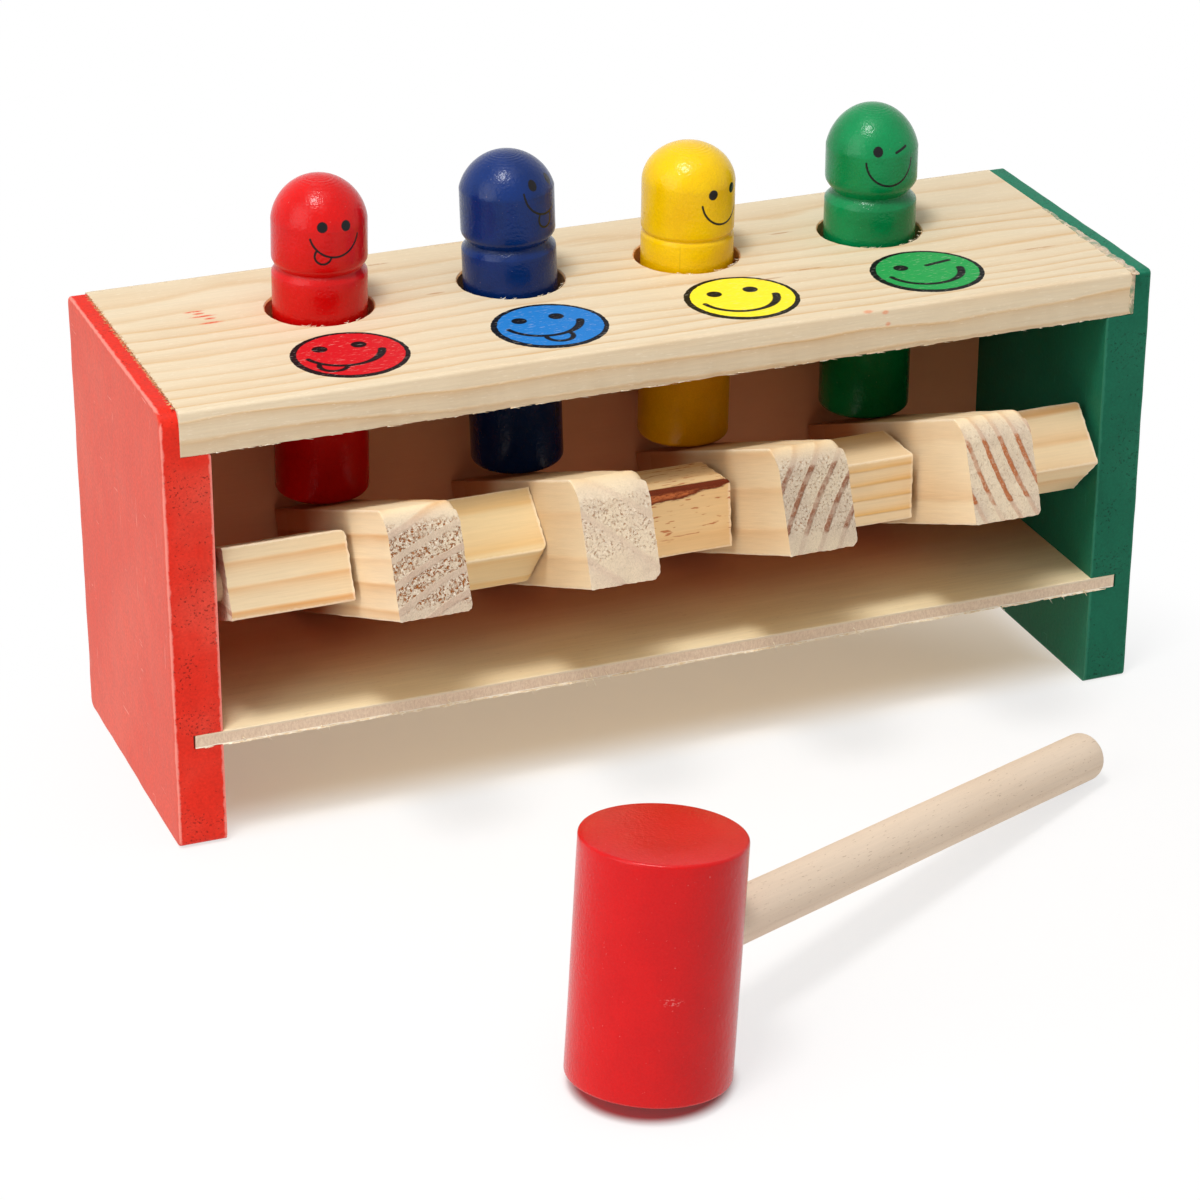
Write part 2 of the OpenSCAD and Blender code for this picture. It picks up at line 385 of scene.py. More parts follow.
def hang_lamp(name, place, size, power):
    data = bpy.data.lights.new(name, "AREA")
    data.shape = "SQUARE"
    data.size = size
    data.energy = power
    lamp = bpy.data.objects.new(name, data)
    lamp.location = place
    aim = Vector((0, bench_y, 0.06)) - Vector(place)
    lamp.rotation_euler = aim.to_track_quat("-Z", "Y").to_euler()
    bpy.context.scene.collection.objects.link(lamp)
    return lamp


def light_room():
    world = bpy.data.worlds.new("white_room")
    world.use_nodes = True
    graph = Graph(world.node_tree)
    backdrop = world.node_tree.nodes["Background"]
    backdrop.inputs["Color"].default_value = white
    strength = graph.spread(seen_directly(graph), room_strength, 1.0)
    graph.feed(backdrop.inputs["Strength"], strength)
    bpy.context.scene.world = world
    return world


light_room()
for lamp_name, lamp_values in lamps.items():
    print("lamp:", hang_lamp(lamp_name, **lamp_values).name)

# %% [markdown]
# Every piece starts as a simple closed shape in a bmesh: a cube for a sawn block, a profile
# spun round its axis for a turned peg. A few helpers make the block, round its edges, slice
# it into small faces and make those faces slightly uneven, as a saw and sandpaper leave them.

# %% Blocks, edges and slices
AXES = [Vector((1, 0, 0)), Vector((0, 1, 0)), Vector((0, 0, 1))]


def block(low, high):
    """A closed box between two corners."""
    low, high = Vector(low), Vector(high)
    bm = bmesh.new()
    bmesh.ops.create_cube(bm, size=1)
    bmesh.ops.scale(bm, vec=high - low, verts=bm.verts)
    shift(bm, (low + high) / 2)
    return bm


def centred_block(half_size):
    """A closed box round the origin, and its two corners."""
    low, high = -Vector(half_size), Vector(half_size)
    return block(low, high), low, high


def shift(bm, offset):
    bmesh.ops.translate(bm, verts=bm.verts, vec=offset)


def lay_along_x(bm):
    """Turns a shape that was made along Z so that it lies along X."""
    quarter = Matrix.Rotation(math.pi / 2, 3, "Y")
    bmesh.ops.rotate(bm, verts=bm.verts, cent=(0, 0, 0), matrix=quarter)


def middle_of(low, high):
    """The place of a block's middle."""
    return Matrix.Translation((low + high) / 2)


def edges_along(bm, axis, chosen):
    """Edges that run along one axis and whose middle passes a test."""
    found = []
    for edge in bm.edges:
        first, second = (vert.co for vert in edge.verts)
        run = (second - first).normalized()
        if abs(run[axis]) > 0.99 and chosen((first + second) / 2):
            found.append(edge)
    return found


def round_edges(bm, edges, radius, segments=3):
    bmesh.ops.bevel(bm, geom=edges, offset=radius, offset_type="OFFSET", affect="EDGES",
                    segments=segments, profile=0.5, material=-1)


def slice_at(bm, axis, places):
    """Cuts the faces at each place along an axis and keeps both sides."""
    for place in places:
        bmesh.ops.bisect_plane(bm, geom=bm.verts[:] + bm.edges[:] + bm.faces[:], dist=1e-7,
                               plane_co=AXES[axis] * place, plane_no=AXES[axis])


def steps(low, high, step):
    """Evenly spaced places between two ends, about one step apart."""
    count = max(1, round((high - low) / step))
    return [low + (high - low) * i / count for i in range(1, count)]


def drift(point, per_metre, seed):
    """Smooth noise from -1 to 1 at a point; the seed picks another pattern."""
    return noise.noise(Vector(point) * per_metre + Vector((seed * 3.7, seed * 1.3, seed * 2.1)))


def roughen(bm, amount, per_metre, seed, chosen=lambda point: 1.0):
    """Moves each point along its normal by smooth noise, weighed by a test."""
    bm.normal_update()
    for vert in bm.verts:
        push = drift(vert.co, per_metre, seed) * amount * chosen(vert.co)
        vert.co += vert.normal * push


def round_corner(bm, first, second, corner, inward, radius, fullness=2.0):
    """Presses the square corner between two faces into a round; fullness 1 is a flat bevel.

    first and second are axes, corner the two coordinates of the corner and inward the two
    signs that point into the block."""
    centre = [corner[0] + inward[0] * radius, corner[1] + inward[1] * radius]
    for vert in bm.verts:
        reach = [(centre[0] - vert.co[first]) * inward[0] / radius,
                 (centre[1] - vert.co[second]) * inward[1] / radius]
        if min(reach) > 0:
            shrink = max(reach) / (reach[0] ** fullness + reach[1] ** fullness) ** (1 / fullness)
            vert.co[first] = centre[0] - inward[0] * radius * reach[0] * shrink
            vert.co[second] = centre[1] - inward[1] * radius * reach[1] * shrink


# %% [markdown]
# A turned part is a half outline spun once round its axis. The outline is a short list of
# points in which each round stretch is an arc. Spinning needs its first and last ring merged
# and its poles closed, or the piece would be open along a seam. No turned part is perfectly
# round, so its points can be pushed a little away from the axis.

# %% Turned shapes


def arc(centre, radius, start, end, count):
    """Points on an arc of the outline, with angles in degrees from the axis outwards."""
    angles = [math.radians(start + (end - start) * i / count) for i in range(count + 1)]
    return [(centre[0] + radius * math.cos(a), centre[1] + radius * math.sin(a)) for a in angles]


def turn(outline, around=96):
    """Spins an outline of (distance from the axis, height) once round the Z axis."""
    bm = bmesh.new()
    verts = [bm.verts.new((reach, 0, height)) for reach, height in outline]
    edges = [bm.edges.new(pair) for pair in zip(verts, verts[1:])]
    bmesh.ops.spin(bm, geom=verts + edges, cent=(0, 0, 0), axis=(0, 0, 1),
                   angle=2 * math.pi, steps=around, use_merge=True)
    bmesh.ops.remove_doubles(bm, verts=bm.verts, dist=1e-6)
    bmesh.ops.recalc_face_normals(bm, faces=bm.faces)
    return bm


def push_outwards(bm, amount, chosen):
    """Moves points away from the Z axis by an amount that is worked out for each point."""
    for vert in bm.verts:
        reach = math.hypot(vert.co.x, vert.co.y)
        if chosen(reach, vert.co):
            scale = 1 + amount(vert.co) / reach
            vert.co.x *= scale
            vert.co.y *= scale


# %% [markdown]
# Holes and grooves are cut with a Boolean, as a router or a drill cuts them. The
# modifier's result is taken into a new mesh, so no live modifier stays on the piece.

# %% Cutting
bore_radius = 4.1 * MM


def to_object(bm, name):
    mesh = bpy.data.meshes.new(name)
    bm.to_mesh(mesh)
    bm.free()
    made = bpy.data.objects.new(name, mesh)
    bpy.context.scene.collection.objects.link(made)
    return made


def carve(bm, cutter):
    """Takes the cutter's volume out of a mesh and gives the result as a new bmesh."""
    body = to_object(bm, "work")
    tool = to_object(cutter, "cutter")
    cut = body.modifiers.new("cut", "BOOLEAN")
    cut.operation = "DIFFERENCE"
    cut.solver = "EXACT"
    cut.object = tool
    shaped = body.evaluated_get(bpy.context.evaluated_depsgraph_get())
    result = bmesh.new()
    result.from_mesh(shaped.to_mesh())
    for used in (body, tool):
        mesh = used.data
        bpy.data.objects.remove(used)
        bpy.data.meshes.remove(mesh)
    return result


def drill(bm, half_length):
    """Bores the dowel's hole along X through the origin."""
    bore = turn([(0, -half_length), (bore_radius, -half_length), (bore_radius, half_length),
                 (0, half_length)], 48)
    lay_along_x(bore)
    return carve(bm, bore)


# %% [markdown]
# A finished mesh becomes a piece in one place. Its object stays at the origin and its place
# is in its mesh, as the frame's own nodes have it. Faces that meet at a shallow angle are
# shaded smooth, sharper edges stay sharp, and each face remembers how squarely it cuts
# across the grain, because end grain looks nothing like the long side of the same block.

# %% From mesh to piece
sharp_angle = math.radians(32)
pieces_made = []


def make_piece(name, bm, body, material, replaced=(), grain=(1, 0, 0), place=Matrix()):
    """Places a mesh, gives it its material and lets it ride on its body."""
    bm.normal_update()
    across = bm.faces.layers.float.new("end_grain")
    for face in bm.faces:
        face[across] = abs(face.normal.dot(Vector(grain)))
        face.smooth = True
    piece = to_object(bm, name)
    piece.data.transform(place)
    piece.data.set_sharp_from_angle(angle=sharp_angle)
    piece.data.materials.append(material)
    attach(piece, body)
    if replaced:
        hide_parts(*replaced)
    pieces_made.append(name)
    print(name, "has", len(piece.data.polygons), "faces")
    return piece


# %% [markdown]
# Softwood is a stack of thin cones: one pale layer of spring wood and one dark layer of
# summer wood a year. Cut along, they show as bands. Cut across, they show as arcs. Both
# come from one pattern in space, the distance from the pith, so a block's sides and its end
# agree at every edge. Each year darkens slowly and stops sharply. Fine fibres are the same
# noise stretched along the grain, and across it they turn into pores.

# %% Growth rings as a shader group


def growth_rings():
    inputs = {"Vector": (0, 0, 0), "Pith": (0, 0, 0), "Ring Width": 0.004, "Wander": 0.6,
              "Seed": 0.0, "Summer": 0.25}
    outputs = ["Late", "Fibre", "Pore", "Blotch", "Edge"]
    graph, given, result = new_group("growth rings", inputs, outputs)
    seed_step = (0.37, 0.11, 0.23)
    there = graph.vectors("MULTIPLY_ADD", graph.triple(given["Seed"]), seed_step, given["Vector"])
    slow = graph.noise(there, (9, 34, 34))
    wavy = graph.noise(there, (28, 120, 120))
    from_pith = graph.vectors("SUBTRACT", given["Vector"], given["Pith"])
    _, side, up = graph.split(from_pith)
    radius = graph.vectors("LENGTH", graph.join(0.0, side, up))
    turns = graph.maths("DIVIDE", radius, given["Ring Width"])
    turns = graph.maths("MULTIPLY_ADD", graph.less(slow, 0.5), given["Wander"], turns)
    ripple = graph.times(given["Wander"], 0.16)
    turns = graph.maths("MULTIPLY_ADD", graph.less(wavy, 0.5), ripple, turns)
    jitter = graph.noise(there, (60, 900, 900))
    turns = graph.maths("MULTIPLY_ADD", graph.less(jitter, 0.5), 0.10, turns)
    share = graph.maths("FRACT", turns)
    year = graph.add("ShaderNodeTexWhiteNoise", noise_dimensions="1D")
    graph.feed(year.inputs["W"], graph.maths("ADD", graph.maths("FLOOR", turns), given["Seed"]))
    strength = graph.spread(year.outputs["Value"], 0.4, 1.05)
    rise = graph.maths("POWER", share, 2.6)
    fall = graph.fall(share, 0.93, 1.0)
    soft_fall = graph.fall(share, 0.82, 1.0)
    late = graph.times(rise, soft_fall, strength)
    graph.feed(result["Late"], graph.times(late, 1.5))
    start = graph.flip(given["Summer"])
    band = graph.smooth(share, graph.less(start, 0.07), graph.maths("ADD", start, 0.03))
    graph.feed(result["Edge"], graph.times(band, fall, strength))
    graph.feed(result["Fibre"], graph.noise(there, (70, 1500, 1500), 3.0, 0.6))
    graph.feed(result["Pore"], graph.noise(there, (170, 1550, 1550), 3.0, 0.75))
    graph.feed(result["Blotch"], graph.noise(there, (16, 60, 60)))
    return graph.tree


rings_group = growth_rings()
print("ring pattern puts out", [item.name for item in rings_group.interface.items_tree][:5])

# %% [markdown]
# Bare arrises of sawn wood and painted board are a little paler and rougher: the saw lifts
# fibres there and fingers rub the paint thin. On the bare pine the pale arrises also stand in
# for a highlight along the edges, a painted highlight. The effect needs the distance to the
# nearest edge. On a block that is the second smallest of its distances to the six faces.

# %% Worn edges as a shader group


def worn_edges():
    inputs = {"Vector": (0, 0, 0), "Half Size": (0, 0, 0), "Width": 0.001, "Break": 900.0}
    graph, given, result = new_group("worn edges", inputs, ["Wear"])
    inside = graph.vectors("SUBTRACT", given["Half Size"],
                           graph.vectors("ABSOLUTE", given["Vector"]))
    x, y, z = graph.split(inside)
    lowest = graph.maths("MINIMUM", graph.maths("MINIMUM", x, y), z)
    highest = graph.most(x, y, z)
    total = graph.maths("ADD", graph.maths("ADD", x, y), z)
    second = graph.less(graph.less(total, lowest), highest)
    there = graph.vectors("MULTIPLY", given["Vector"], graph.triple(given["Break"]))
    ragged = graph.noise(there, 1, 3.0, 0.65)
    reach = graph.times(given["Width"], graph.spread(ragged, 0.1, 1.9))
    graph.feed(result["Wear"], graph.fall(graph.maths("DIVIDE", second, reach), 0.35, 1.0))
    return graph.tree


edges_group = worn_edges()

# %% [markdown]
# Pattern coordinates are the piece's own: a Mapping node in Texture mode undoes the place and
# turn of the block, so its grain runs along the block however the block lies.

# %% Coordinates of a piece


def own_coordinates(graph, place=Matrix()):
    mapping = graph.add("ShaderNodeMapping", vector_type="TEXTURE")
    graph.feed(mapping.inputs["Vector"], graph.add("ShaderNodeTexCoord").outputs["Object"])
    mapping.inputs["Location"].default_value = place.to_translation()
    mapping.inputs["Rotation"].default_value = place.to_euler("XYZ")
    return mapping.outputs[0]


def new_material(name, place=Matrix()):
    """A material, its graph and the coordinates of the piece that it is for."""
    material = bpy.data.materials.new("look_" + name)
    material.use_nodes = True
    graph = Graph(material.node_tree)
    return material, graph, own_coordinates(graph, place)


def edge_wear(graph, here, half_size, width, per_metre=900.0):
    """1 on the worn arrises of a block."""
    return graph.place(edges_group, {"Vector": here, "Half Size": half_size, "Width": width,
                                     "Break": per_metre})["Wear"]


def coat(material, graph, colour, roughness, specular, height, strength, depth):
    """Feeds the surface; the height becomes a normal, and depth is its real depth."""
    surface = material.node_tree.nodes["Principled BSDF"].inputs
    graph.feed(surface["Base Color"], colour)
    graph.feed(surface["Roughness"], roughness)
    surface["Specular IOR Level"].default_value = specular
    relief = graph.add("ShaderNodeBump")
    relief.inputs["Strength"].default_value = strength
    relief.inputs["Distance"].default_value = depth
    graph.feed(relief.inputs["Height"], height)
    graph.feed(surface["Normal"], relief.outputs[0])
    return material


# %% [markdown]
# Bare pine is one material with a few choices: where the pith lay, how wide the years are,
# how strong the colour is, and how rough the saw left the end. The long sides are creamy with
# tan bands and fine fibres. The ends are greyer and pinkish, full of torn pores, with pale
# specks that are partly torn fibres and partly painted glints. The pale arrises are partly
# lifted fibres and partly a painted highlight. The blocks reach back into the bench, where
# the light that comes off its inner sides is warm, so towards the back their colour is
# painted darker and warmer, a painted warm shade.

# %% Bare pine
pine_pale = ink(238, 216, 178)
pine_late = ink(218, 162, 96)
pine_tint = ink(236, 208, 168)
end_pale = ink(230, 210, 180)
end_stripe = ink(176, 112, 76)
end_smooth = ink(218, 198, 172)
end_rose = ink(208, 182, 164)
pore_dark = ink(166, 98, 42)
chip_and_glint_white = ink(254, 244, 226)
painted_warm_shade = ink(206, 152, 120)
pine_cream = ink(248, 228, 192)
indoors_y = (12 * MM, 34 * MM)


def side_look(graph, rings, along, pale, late, band, line):
    """Long sides: pale wood with bands of summer wood that fade in and out."""
    summer_wood = graph.maths("MULTIPLY_ADD", rings["Edge"], line, graph.times(rings["Late"], band))
    fade = graph.spread(graph.noise(along, (24, 110, 110)), 0.3, 1.5)
    tone = graph.mix(graph.times(summer_wood, fade, clamp=True), pale, late)
    tone = graph.mix(graph.times(rings["Blotch"], 0.35), tone, pine_tint, "MULTIPLY")
    height = graph.maths("MULTIPLY_ADD", rings["Fibre"], 0.5, rings["Late"])
    return graph.vary(tone, rings["Fibre"], 0.9, 1.08), height


def end_look(graph, rings, along, z, end_band=0.7, end_late=end_stripe, pores=0.5,
             end_rows=(-1.0, 1.0), torn_rows=(-1.0, 1.0), end_light=1.0):
    """Sawn ends: stripes of summer wood, and torn pale wood with open pores and painted glints
    between them.

    end_rows are the heights between which the stripes are strong, and torn_rows those
    between which the saw tore the pale wood."""
    ragged = graph.noise(along, (200, 420, 420), 3.0, 0.6)
    rough_z = graph.maths("MULTIPLY_ADD", ragged, 4 * MM, graph.less(z, 2 * MM))
    rows = graph.between(rough_z, *end_rows, 0.8 * MM)
    torn = graph.between(rough_z, *torn_rows, 1.5 * MM)
    ink_depth = graph.spread(graph.patches(along, (90, 260, 260), 0.36, 0.62, 3.0, 0.6), 0.45, 1.1)
    stripe = graph.times(rings["Edge"], ink_depth)
    stripe = graph.times(stripe, graph.spread(rows, 0.16 * end_band, end_band), clamp=True)
    spring = graph.fall(rings["Edge"], 0.05, 0.4)
    patch = graph.smooth(ragged, 0.36, 0.56)
    open_wood = graph.times(spring, torn, graph.spread(patch, 0.35 * pores, pores))
    tone = graph.mix(graph.smooth(rings["Blotch"], 0.4, 0.62), end_pale, end_smooth)
    tone = graph.mix(graph.times(rings["Late"], 0.55, clamp=True), tone, end_rose)
    # Painted glints: pale specks in the torn spring wood, partly torn fibres and partly a painted
    # sparkle.
    glint = graph.patches(along, (300, 2100, 2100), 0.5, 0.62, 3.0, 0.75)
    tone = graph.cover(tone, end_late, stripe, graph.spread(glint, 1.0, 0.6))
    tone = graph.cover(tone, chip_and_glint_white, glint, graph.times(open_wood, 0.6))
    pore = graph.smooth(rings["Pore"], 0.585 - 0.075 * pores, 0.69 - 0.075 * pores)
    tone = graph.cover(tone, pore_dark, pore, open_wood)
    grain = graph.noise(along, (200, 2600, 2600), 2.0, 0.6)
    pits = graph.times(pore, graph.spread(open_wood, 0.2, 1.0))
    height = graph.maths("MULTIPLY_ADD", grain, 0.8, stripe)
    height = graph.maths("MULTIPLY_ADD", pits, -1.2, height)
    return graph.vary(tone, grain, 0.8 * end_light, 1.14 * end_light), height


def pine(name, place, half_size, pith, ring_width, wander=0.5, seed=0.0, band=0.8,
         pale=pine_pale, late=pine_late, summer=0.25, grain_axis=0, line=0.0, worn=0.3,
         sheen=0.14, warm_shade_inside=False, extra=None, **end_values):
    """Bare pine; pith is the two coordinates across the grain where the rings centre."""
    material, graph, here = new_material(name, place)
    x, y, z = graph.split(here)
    along = here if grain_axis == 0 else graph.join(y, x, z)
    rings = graph.place(rings_group, {
        "Vector": along, "Pith": (0, *pith), "Ring Width": ring_width, "Wander": wander,
        "Seed": seed, "Summer": summer})
    side, side_height = side_look(graph, rings, along, pale, late, band, line)
    end, end_height = end_look(graph, rings, along, z, **end_values)
    at_end = graph.smooth(graph.end_grain(), 0.35, 0.95)
    tone = graph.mix(at_end, side, end)
    # Pale arrises: partly fibres lifted by the saw, partly a painted highlight along the edges.
    tone = graph.cover(tone, chip_and_glint_white, edge_wear(graph, here, half_size, 0.7 * MM), worn)
    height = graph.mix(at_end, side_height, end_height)
    roughness = graph.spread(rings["Fibre"], 0.5, 0.7)
    if warm_shade_inside:
        # Painted warm shade: towards the back the colour turns darker and warmer, for the warm
        # light inside the bench.
        tone = graph.mix(graph.smooth(y, *indoors_y), tone, painted_warm_shade, "MULTIPLY")
    if extra:
        tone, roughness, height = extra(graph, here, tone, roughness, height)
    return coat(material, graph, tone, roughness, sheen, height, 0.8, 0.18 * MM)


# %% [markdown]
# The rocking blocks are sawn from one pine stick, so their long sides are smooth and their
# ends are torn end grain. The two long edges on the right were rounded on a router, the nose
# was sanded round. A block starts as a cube. Its long edges get a bevel, slices give it small
# faces, the nose is pressed round, and noise roughens the sawn end. Last it is drilled.

# %% Rocking blocks: shape
block_width = 18 * MM
block_height = 26.4 * MM
arm_front = 38.4 * MM
arm_rear = 58.4 * MM
nose_radius = 6 * MM
routed_radius = {"red": 1.4 * MM, "blue": 2.3 * MM, "yellow": 2.0 * MM, "green": 1.5 * MM}
crisp_radius = 0.35 * MM
nose_slice, arm_slice, side_slice = 0.6 * MM, 2.2 * MM, 0.75 * MM
floor_gap = 0.2 * MM
rear_reach = math.hypot(arm_rear, block_height / 2)
rocker_tilt = (math.atan2(block_height / 2, arm_rear)
               - math.asin((pivots["red"].z - floor_high.z - floor_gap) / rear_reach))
print("rocking blocks lie tilted by", round(math.degrees(rocker_tilt), 2), "degrees")


def rocker_shape(colour, seed):
    half_w, half_h = block_width / 2, block_height / 2
    bm = block((-half_w, -arm_front, -half_h), (half_w, arm_rear, half_h))
    round_edges(bm, edges_along(bm, 1, lambda middle: middle.x > 0), routed_radius[colour], 5)
    round_edges(bm, edges_along(bm, 1, lambda middle: middle.x < -half_w + TINY), crisp_radius, 2)
    nose_end = -arm_front + nose_radius * 1.5
    slice_at(bm, 1, steps(-arm_front, nose_end, nose_slice))
    slice_at(bm, 1, steps(nose_end, arm_rear, arm_slice))
    slice_at(bm, 0, steps(-half_w, half_w, side_slice))
    slice_at(bm, 2, steps(-half_h, half_h, side_slice))
    round_corner(bm, 1, 2, (-arm_front, half_h), (1, -1), nose_radius, 1.55)

    def sawn_front(point):
        return 1.0 if point.y < -arm_front + 0.2 * MM else 0.12

    def lower_arris(point):
        return 1.0 if point.y < -arm_front + 1 * MM and point.z < -half_h + 0.6 * MM else 0.0

    roughen(bm, 0.2 * MM, 1700, seed, sawn_front)
    roughen(bm, 0.3 * MM, 1500, seed + 0.5, lower_arris)
    roughen(bm, 0.12 * MM, 140, seed + 0.7)
    return drill(bm, 12 * MM)


# %% [markdown]
# Each block was cut from another part of the tree. The first shows slanting bands, the second
# almost no bands, the third strong slanting stripes, and the fourth steep stripes that stop
# where the nose was sanded.

# %% Rocking blocks: wood and pieces
half_rocker = (block_width / 2, (arm_front + arm_rear) / 2, block_height / 2)
rocker_woods = {
    "red": {"pith": (0.034, -0.085), "ring_width": 0.0054, "wander": 0.5, "seed": 1.0,
            "summer": 0.3, "pale": pine_cream, "band": 0.8, "end_band": 0.8,
            "end_late": ink(206, 178, 154), "pores": 1.3, "end_light": 0.93,
            "torn_rows": (-0.0105, 0.0090)},
    "blue": {"pith": (-0.060, -0.070), "ring_width": 0.0092, "wander": 0.6, "seed": 2.0,
             "summer": 0.18, "band": 0.35, "end_band": 0.7, "end_late": ink(214, 188, 162),
             "pores": 0.7, "torn_rows": (-0.0060, 0.0080)},
    "yellow": {"pith": (0.095, -0.060), "ring_width": 0.0047, "wander": 0.35, "seed": 3.3,
               "summer": 0.28, "band": 0.5, "end_band": 1.5, "end_late": ink(158, 106, 78),
               "pores": 0.65, "end_light": 0.82, "end_rows": (-0.0085, 0.0080),
               "torn_rows": (-0.0080, 0.0100)},
    "green": {"pith": (0.120, 0.040), "ring_width": 0.0043, "wander": 0.35, "seed": 4.1,
              "summer": 0.27, "pale": pine_cream, "band": 0.5, "end_band": 1.9,
              "end_late": ink(184, 110, 66), "pores": 0.3, "end_light": 0.94,
              "end_rows": (-0.0083, 0.0075)},
}
for number, colour in enumerate(COLOURS):
    rocker_place = Matrix.Translation(pivots[colour]) @ Matrix.Rotation(rocker_tilt, 4, "X")
    rocker_name = "rocker_" + colour
    wood = pine("pine_" + rocker_name, rocker_place, half_rocker, grain_axis=1, warm_shade_inside=True,
                **rocker_woods[colour])
    make_piece(rocker_name + "_pine", rocker_shape(colour, number * 5.3), rocker_name,
               wood, [rocker_name], (0, 1, 0), rocker_place)

# %% [markdown]
# The spacers are offcuts of a thinner square stick, threaded loosely on the dowel, so each
# hangs at its own angle. One end edge of each was knocked round.

# %% Spacers: shape and wood
spacer_turns = [-24, -50, -7, -1, -45]
spacer_side = 17.5 * MM
spacer_slice = 0.9 * MM
knock_radius = [1.5 * MM, 2.2 * MM, 0.9 * MM, 0.6 * MM, 1.2 * MM]
first_stretch = 1.3 * MM
knock_sign = [1, -1, 1, -1, 1]
spacer_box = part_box("spacer_1")
spacer_length = spacer_box[1].x - spacer_box[0].x
half_spacer = (spacer_length / 2, spacer_side / 2, spacer_side / 2)


def spacer_shape(number):
    bm, low, high = centred_block(half_spacer)
    round_edges(bm, edges_along(bm, 0, lambda middle: True), crisp_radius, 2)
    for axis in range(3):
        slice_at(bm, axis, steps(low[axis], high[axis], spacer_slice))
    sign = knock_sign[number]
    round_corner(bm, 0, 2, (high.x, sign * high.z), (-1, -sign), knock_radius[number])

    def sawn_ends(point):
        return 1.0 if abs(point.x) > high.x - 0.5 * MM else 0.15

    roughen(bm, 0.25 * MM, 1100, 20 + number, sawn_ends)
    roughen(bm, 0.1 * MM, 150, 30 + number)
    if number == 0:
        for vert in bm.verts:
            vert.co.x += first_stretch * max(0, vert.co.x) / high.x
    return drill(bm, 20 * MM)


bark_dark = ink(112, 46, 22)
bark_light = ink(196, 110, 62)
resin_tan = ink(184, 106, 60)


def bark_patch(graph, here, tone, roughness, height):
    """A strip of red-brown bark along the top front edge and short resin dashes below."""
    x, y, z = graph.split(here)
    ragged = graph.noise(here, (160, 600, 600), 3.0, 0.6)
    lower = graph.maths("MULTIPLY_ADD", x, 0.11, 0.0062)
    lower = graph.maths("MULTIPLY_ADD", ragged, -0.0028, graph.maths("ADD", lower, 0.0010))
    bark = graph.times(graph.smooth(graph.less(z, lower), -0.0002, 0.0003),
                       graph.fall(y, -0.0078, -0.0070))
    dash = graph.noise(here, (230, 1250, 1250))
    dash = graph.times(graph.smooth(dash, 0.60, 0.67), graph.smooth(z, -0.006, -0.003))
    grit = graph.noise(here, (700, 1800, 1800), 3.0, 0.7)
    depth = graph.smooth(graph.less(z, lower), 0.0002, 0.0012)
    rind = graph.times(depth, graph.fall(z, 0.0072, 0.0080))
    bark_colour = graph.cover(bark_dark, bark_light, rind, graph.smooth(grit, 0.3, 0.6))
    tone = graph.cover(tone, resin_tan, dash, 0.85)
    tone = graph.mix(bark, tone, bark_colour)
    height = graph.mix(bark, height, graph.times(grit, 2.5))
    return tone, roughness, height


spacer_woods = [
    {"pith": (0.015, -0.090), "ring_width": 0.0058, "wander": 0.3, "seed": 11.0, "band": 1.1,
     "pale": ink(224, 206, 172), "late": ink(208, 150, 84)},
    {"pith": (0.050, 0.050), "ring_width": 0.0075, "wander": 0.5, "seed": 12.0, "band": 0.8,
     "pale": ink(230, 208, 162), "late": ink(222, 172, 92)},
    {"pith": (0.060, -0.030), "ring_width": 0.0068, "wander": 0.4, "seed": 13.0, "band": 0.7,
     "pale": ink(236, 206, 156), "extra": bark_patch},
    {"pith": (-0.010, 0.090), "ring_width": 0.0040, "wander": 0.4, "seed": 14.0, "band": 1.0,
     "late": ink(228, 176, 88)},
    {"pith": (0.040, 0.050), "ring_width": 0.0060, "wander": 0.4, "seed": 15.0, "band": 0.9},
]
for number, wood_values in enumerate(spacer_woods):
    spacer_name = "spacer_" + str(number + 1)
    middle = Vector(joints[spacer_name + "_spin"]["pos_m"])
    spin = Matrix.Rotation(math.radians(spacer_turns[number]), 4, "X")
    spacer_place = Matrix.Translation(middle) @ spin
    stretched = (half_spacer[0] + (first_stretch if number == 0 else 0), *half_spacer[1:])
    wood = pine("pine_" + spacer_name, spacer_place, stretched, **wood_values)
    make_piece(spacer_name + "_pine", spacer_shape(number), spacer_name, wood,
               [spacer_name], (1, 0, 0), spacer_place)

# %% [markdown]
# The end panels are fibreboard. A router took a rebate off the inner top edge for the board
# and grooves for the two thin boards. Seen from the front, that section is the same all along
# the depth, so the panel is drawn as one section and extruded. Then its corners are rounded,
# its arrises eased, and the upright groove and the blind hole for the dowel are cut.

# %% End panels: shape
panel_height = left_high.z - left_low.z
lip = board_low.x - left_low.x
shoulder_z = board_low.z
groove_floor = panel_thickness - 7.4 * MM
seat_floor = panel_thickness - 8 * MM
half_depth = bench_depth / 2
seat_place = Vector((0, pivots["red"].y - bench_y, pivots["red"].z))
inner_ease = 0.6 * MM
seat_radius, seat_depth = 4 * MM, 10 * MM
panel_slice = 3 * MM


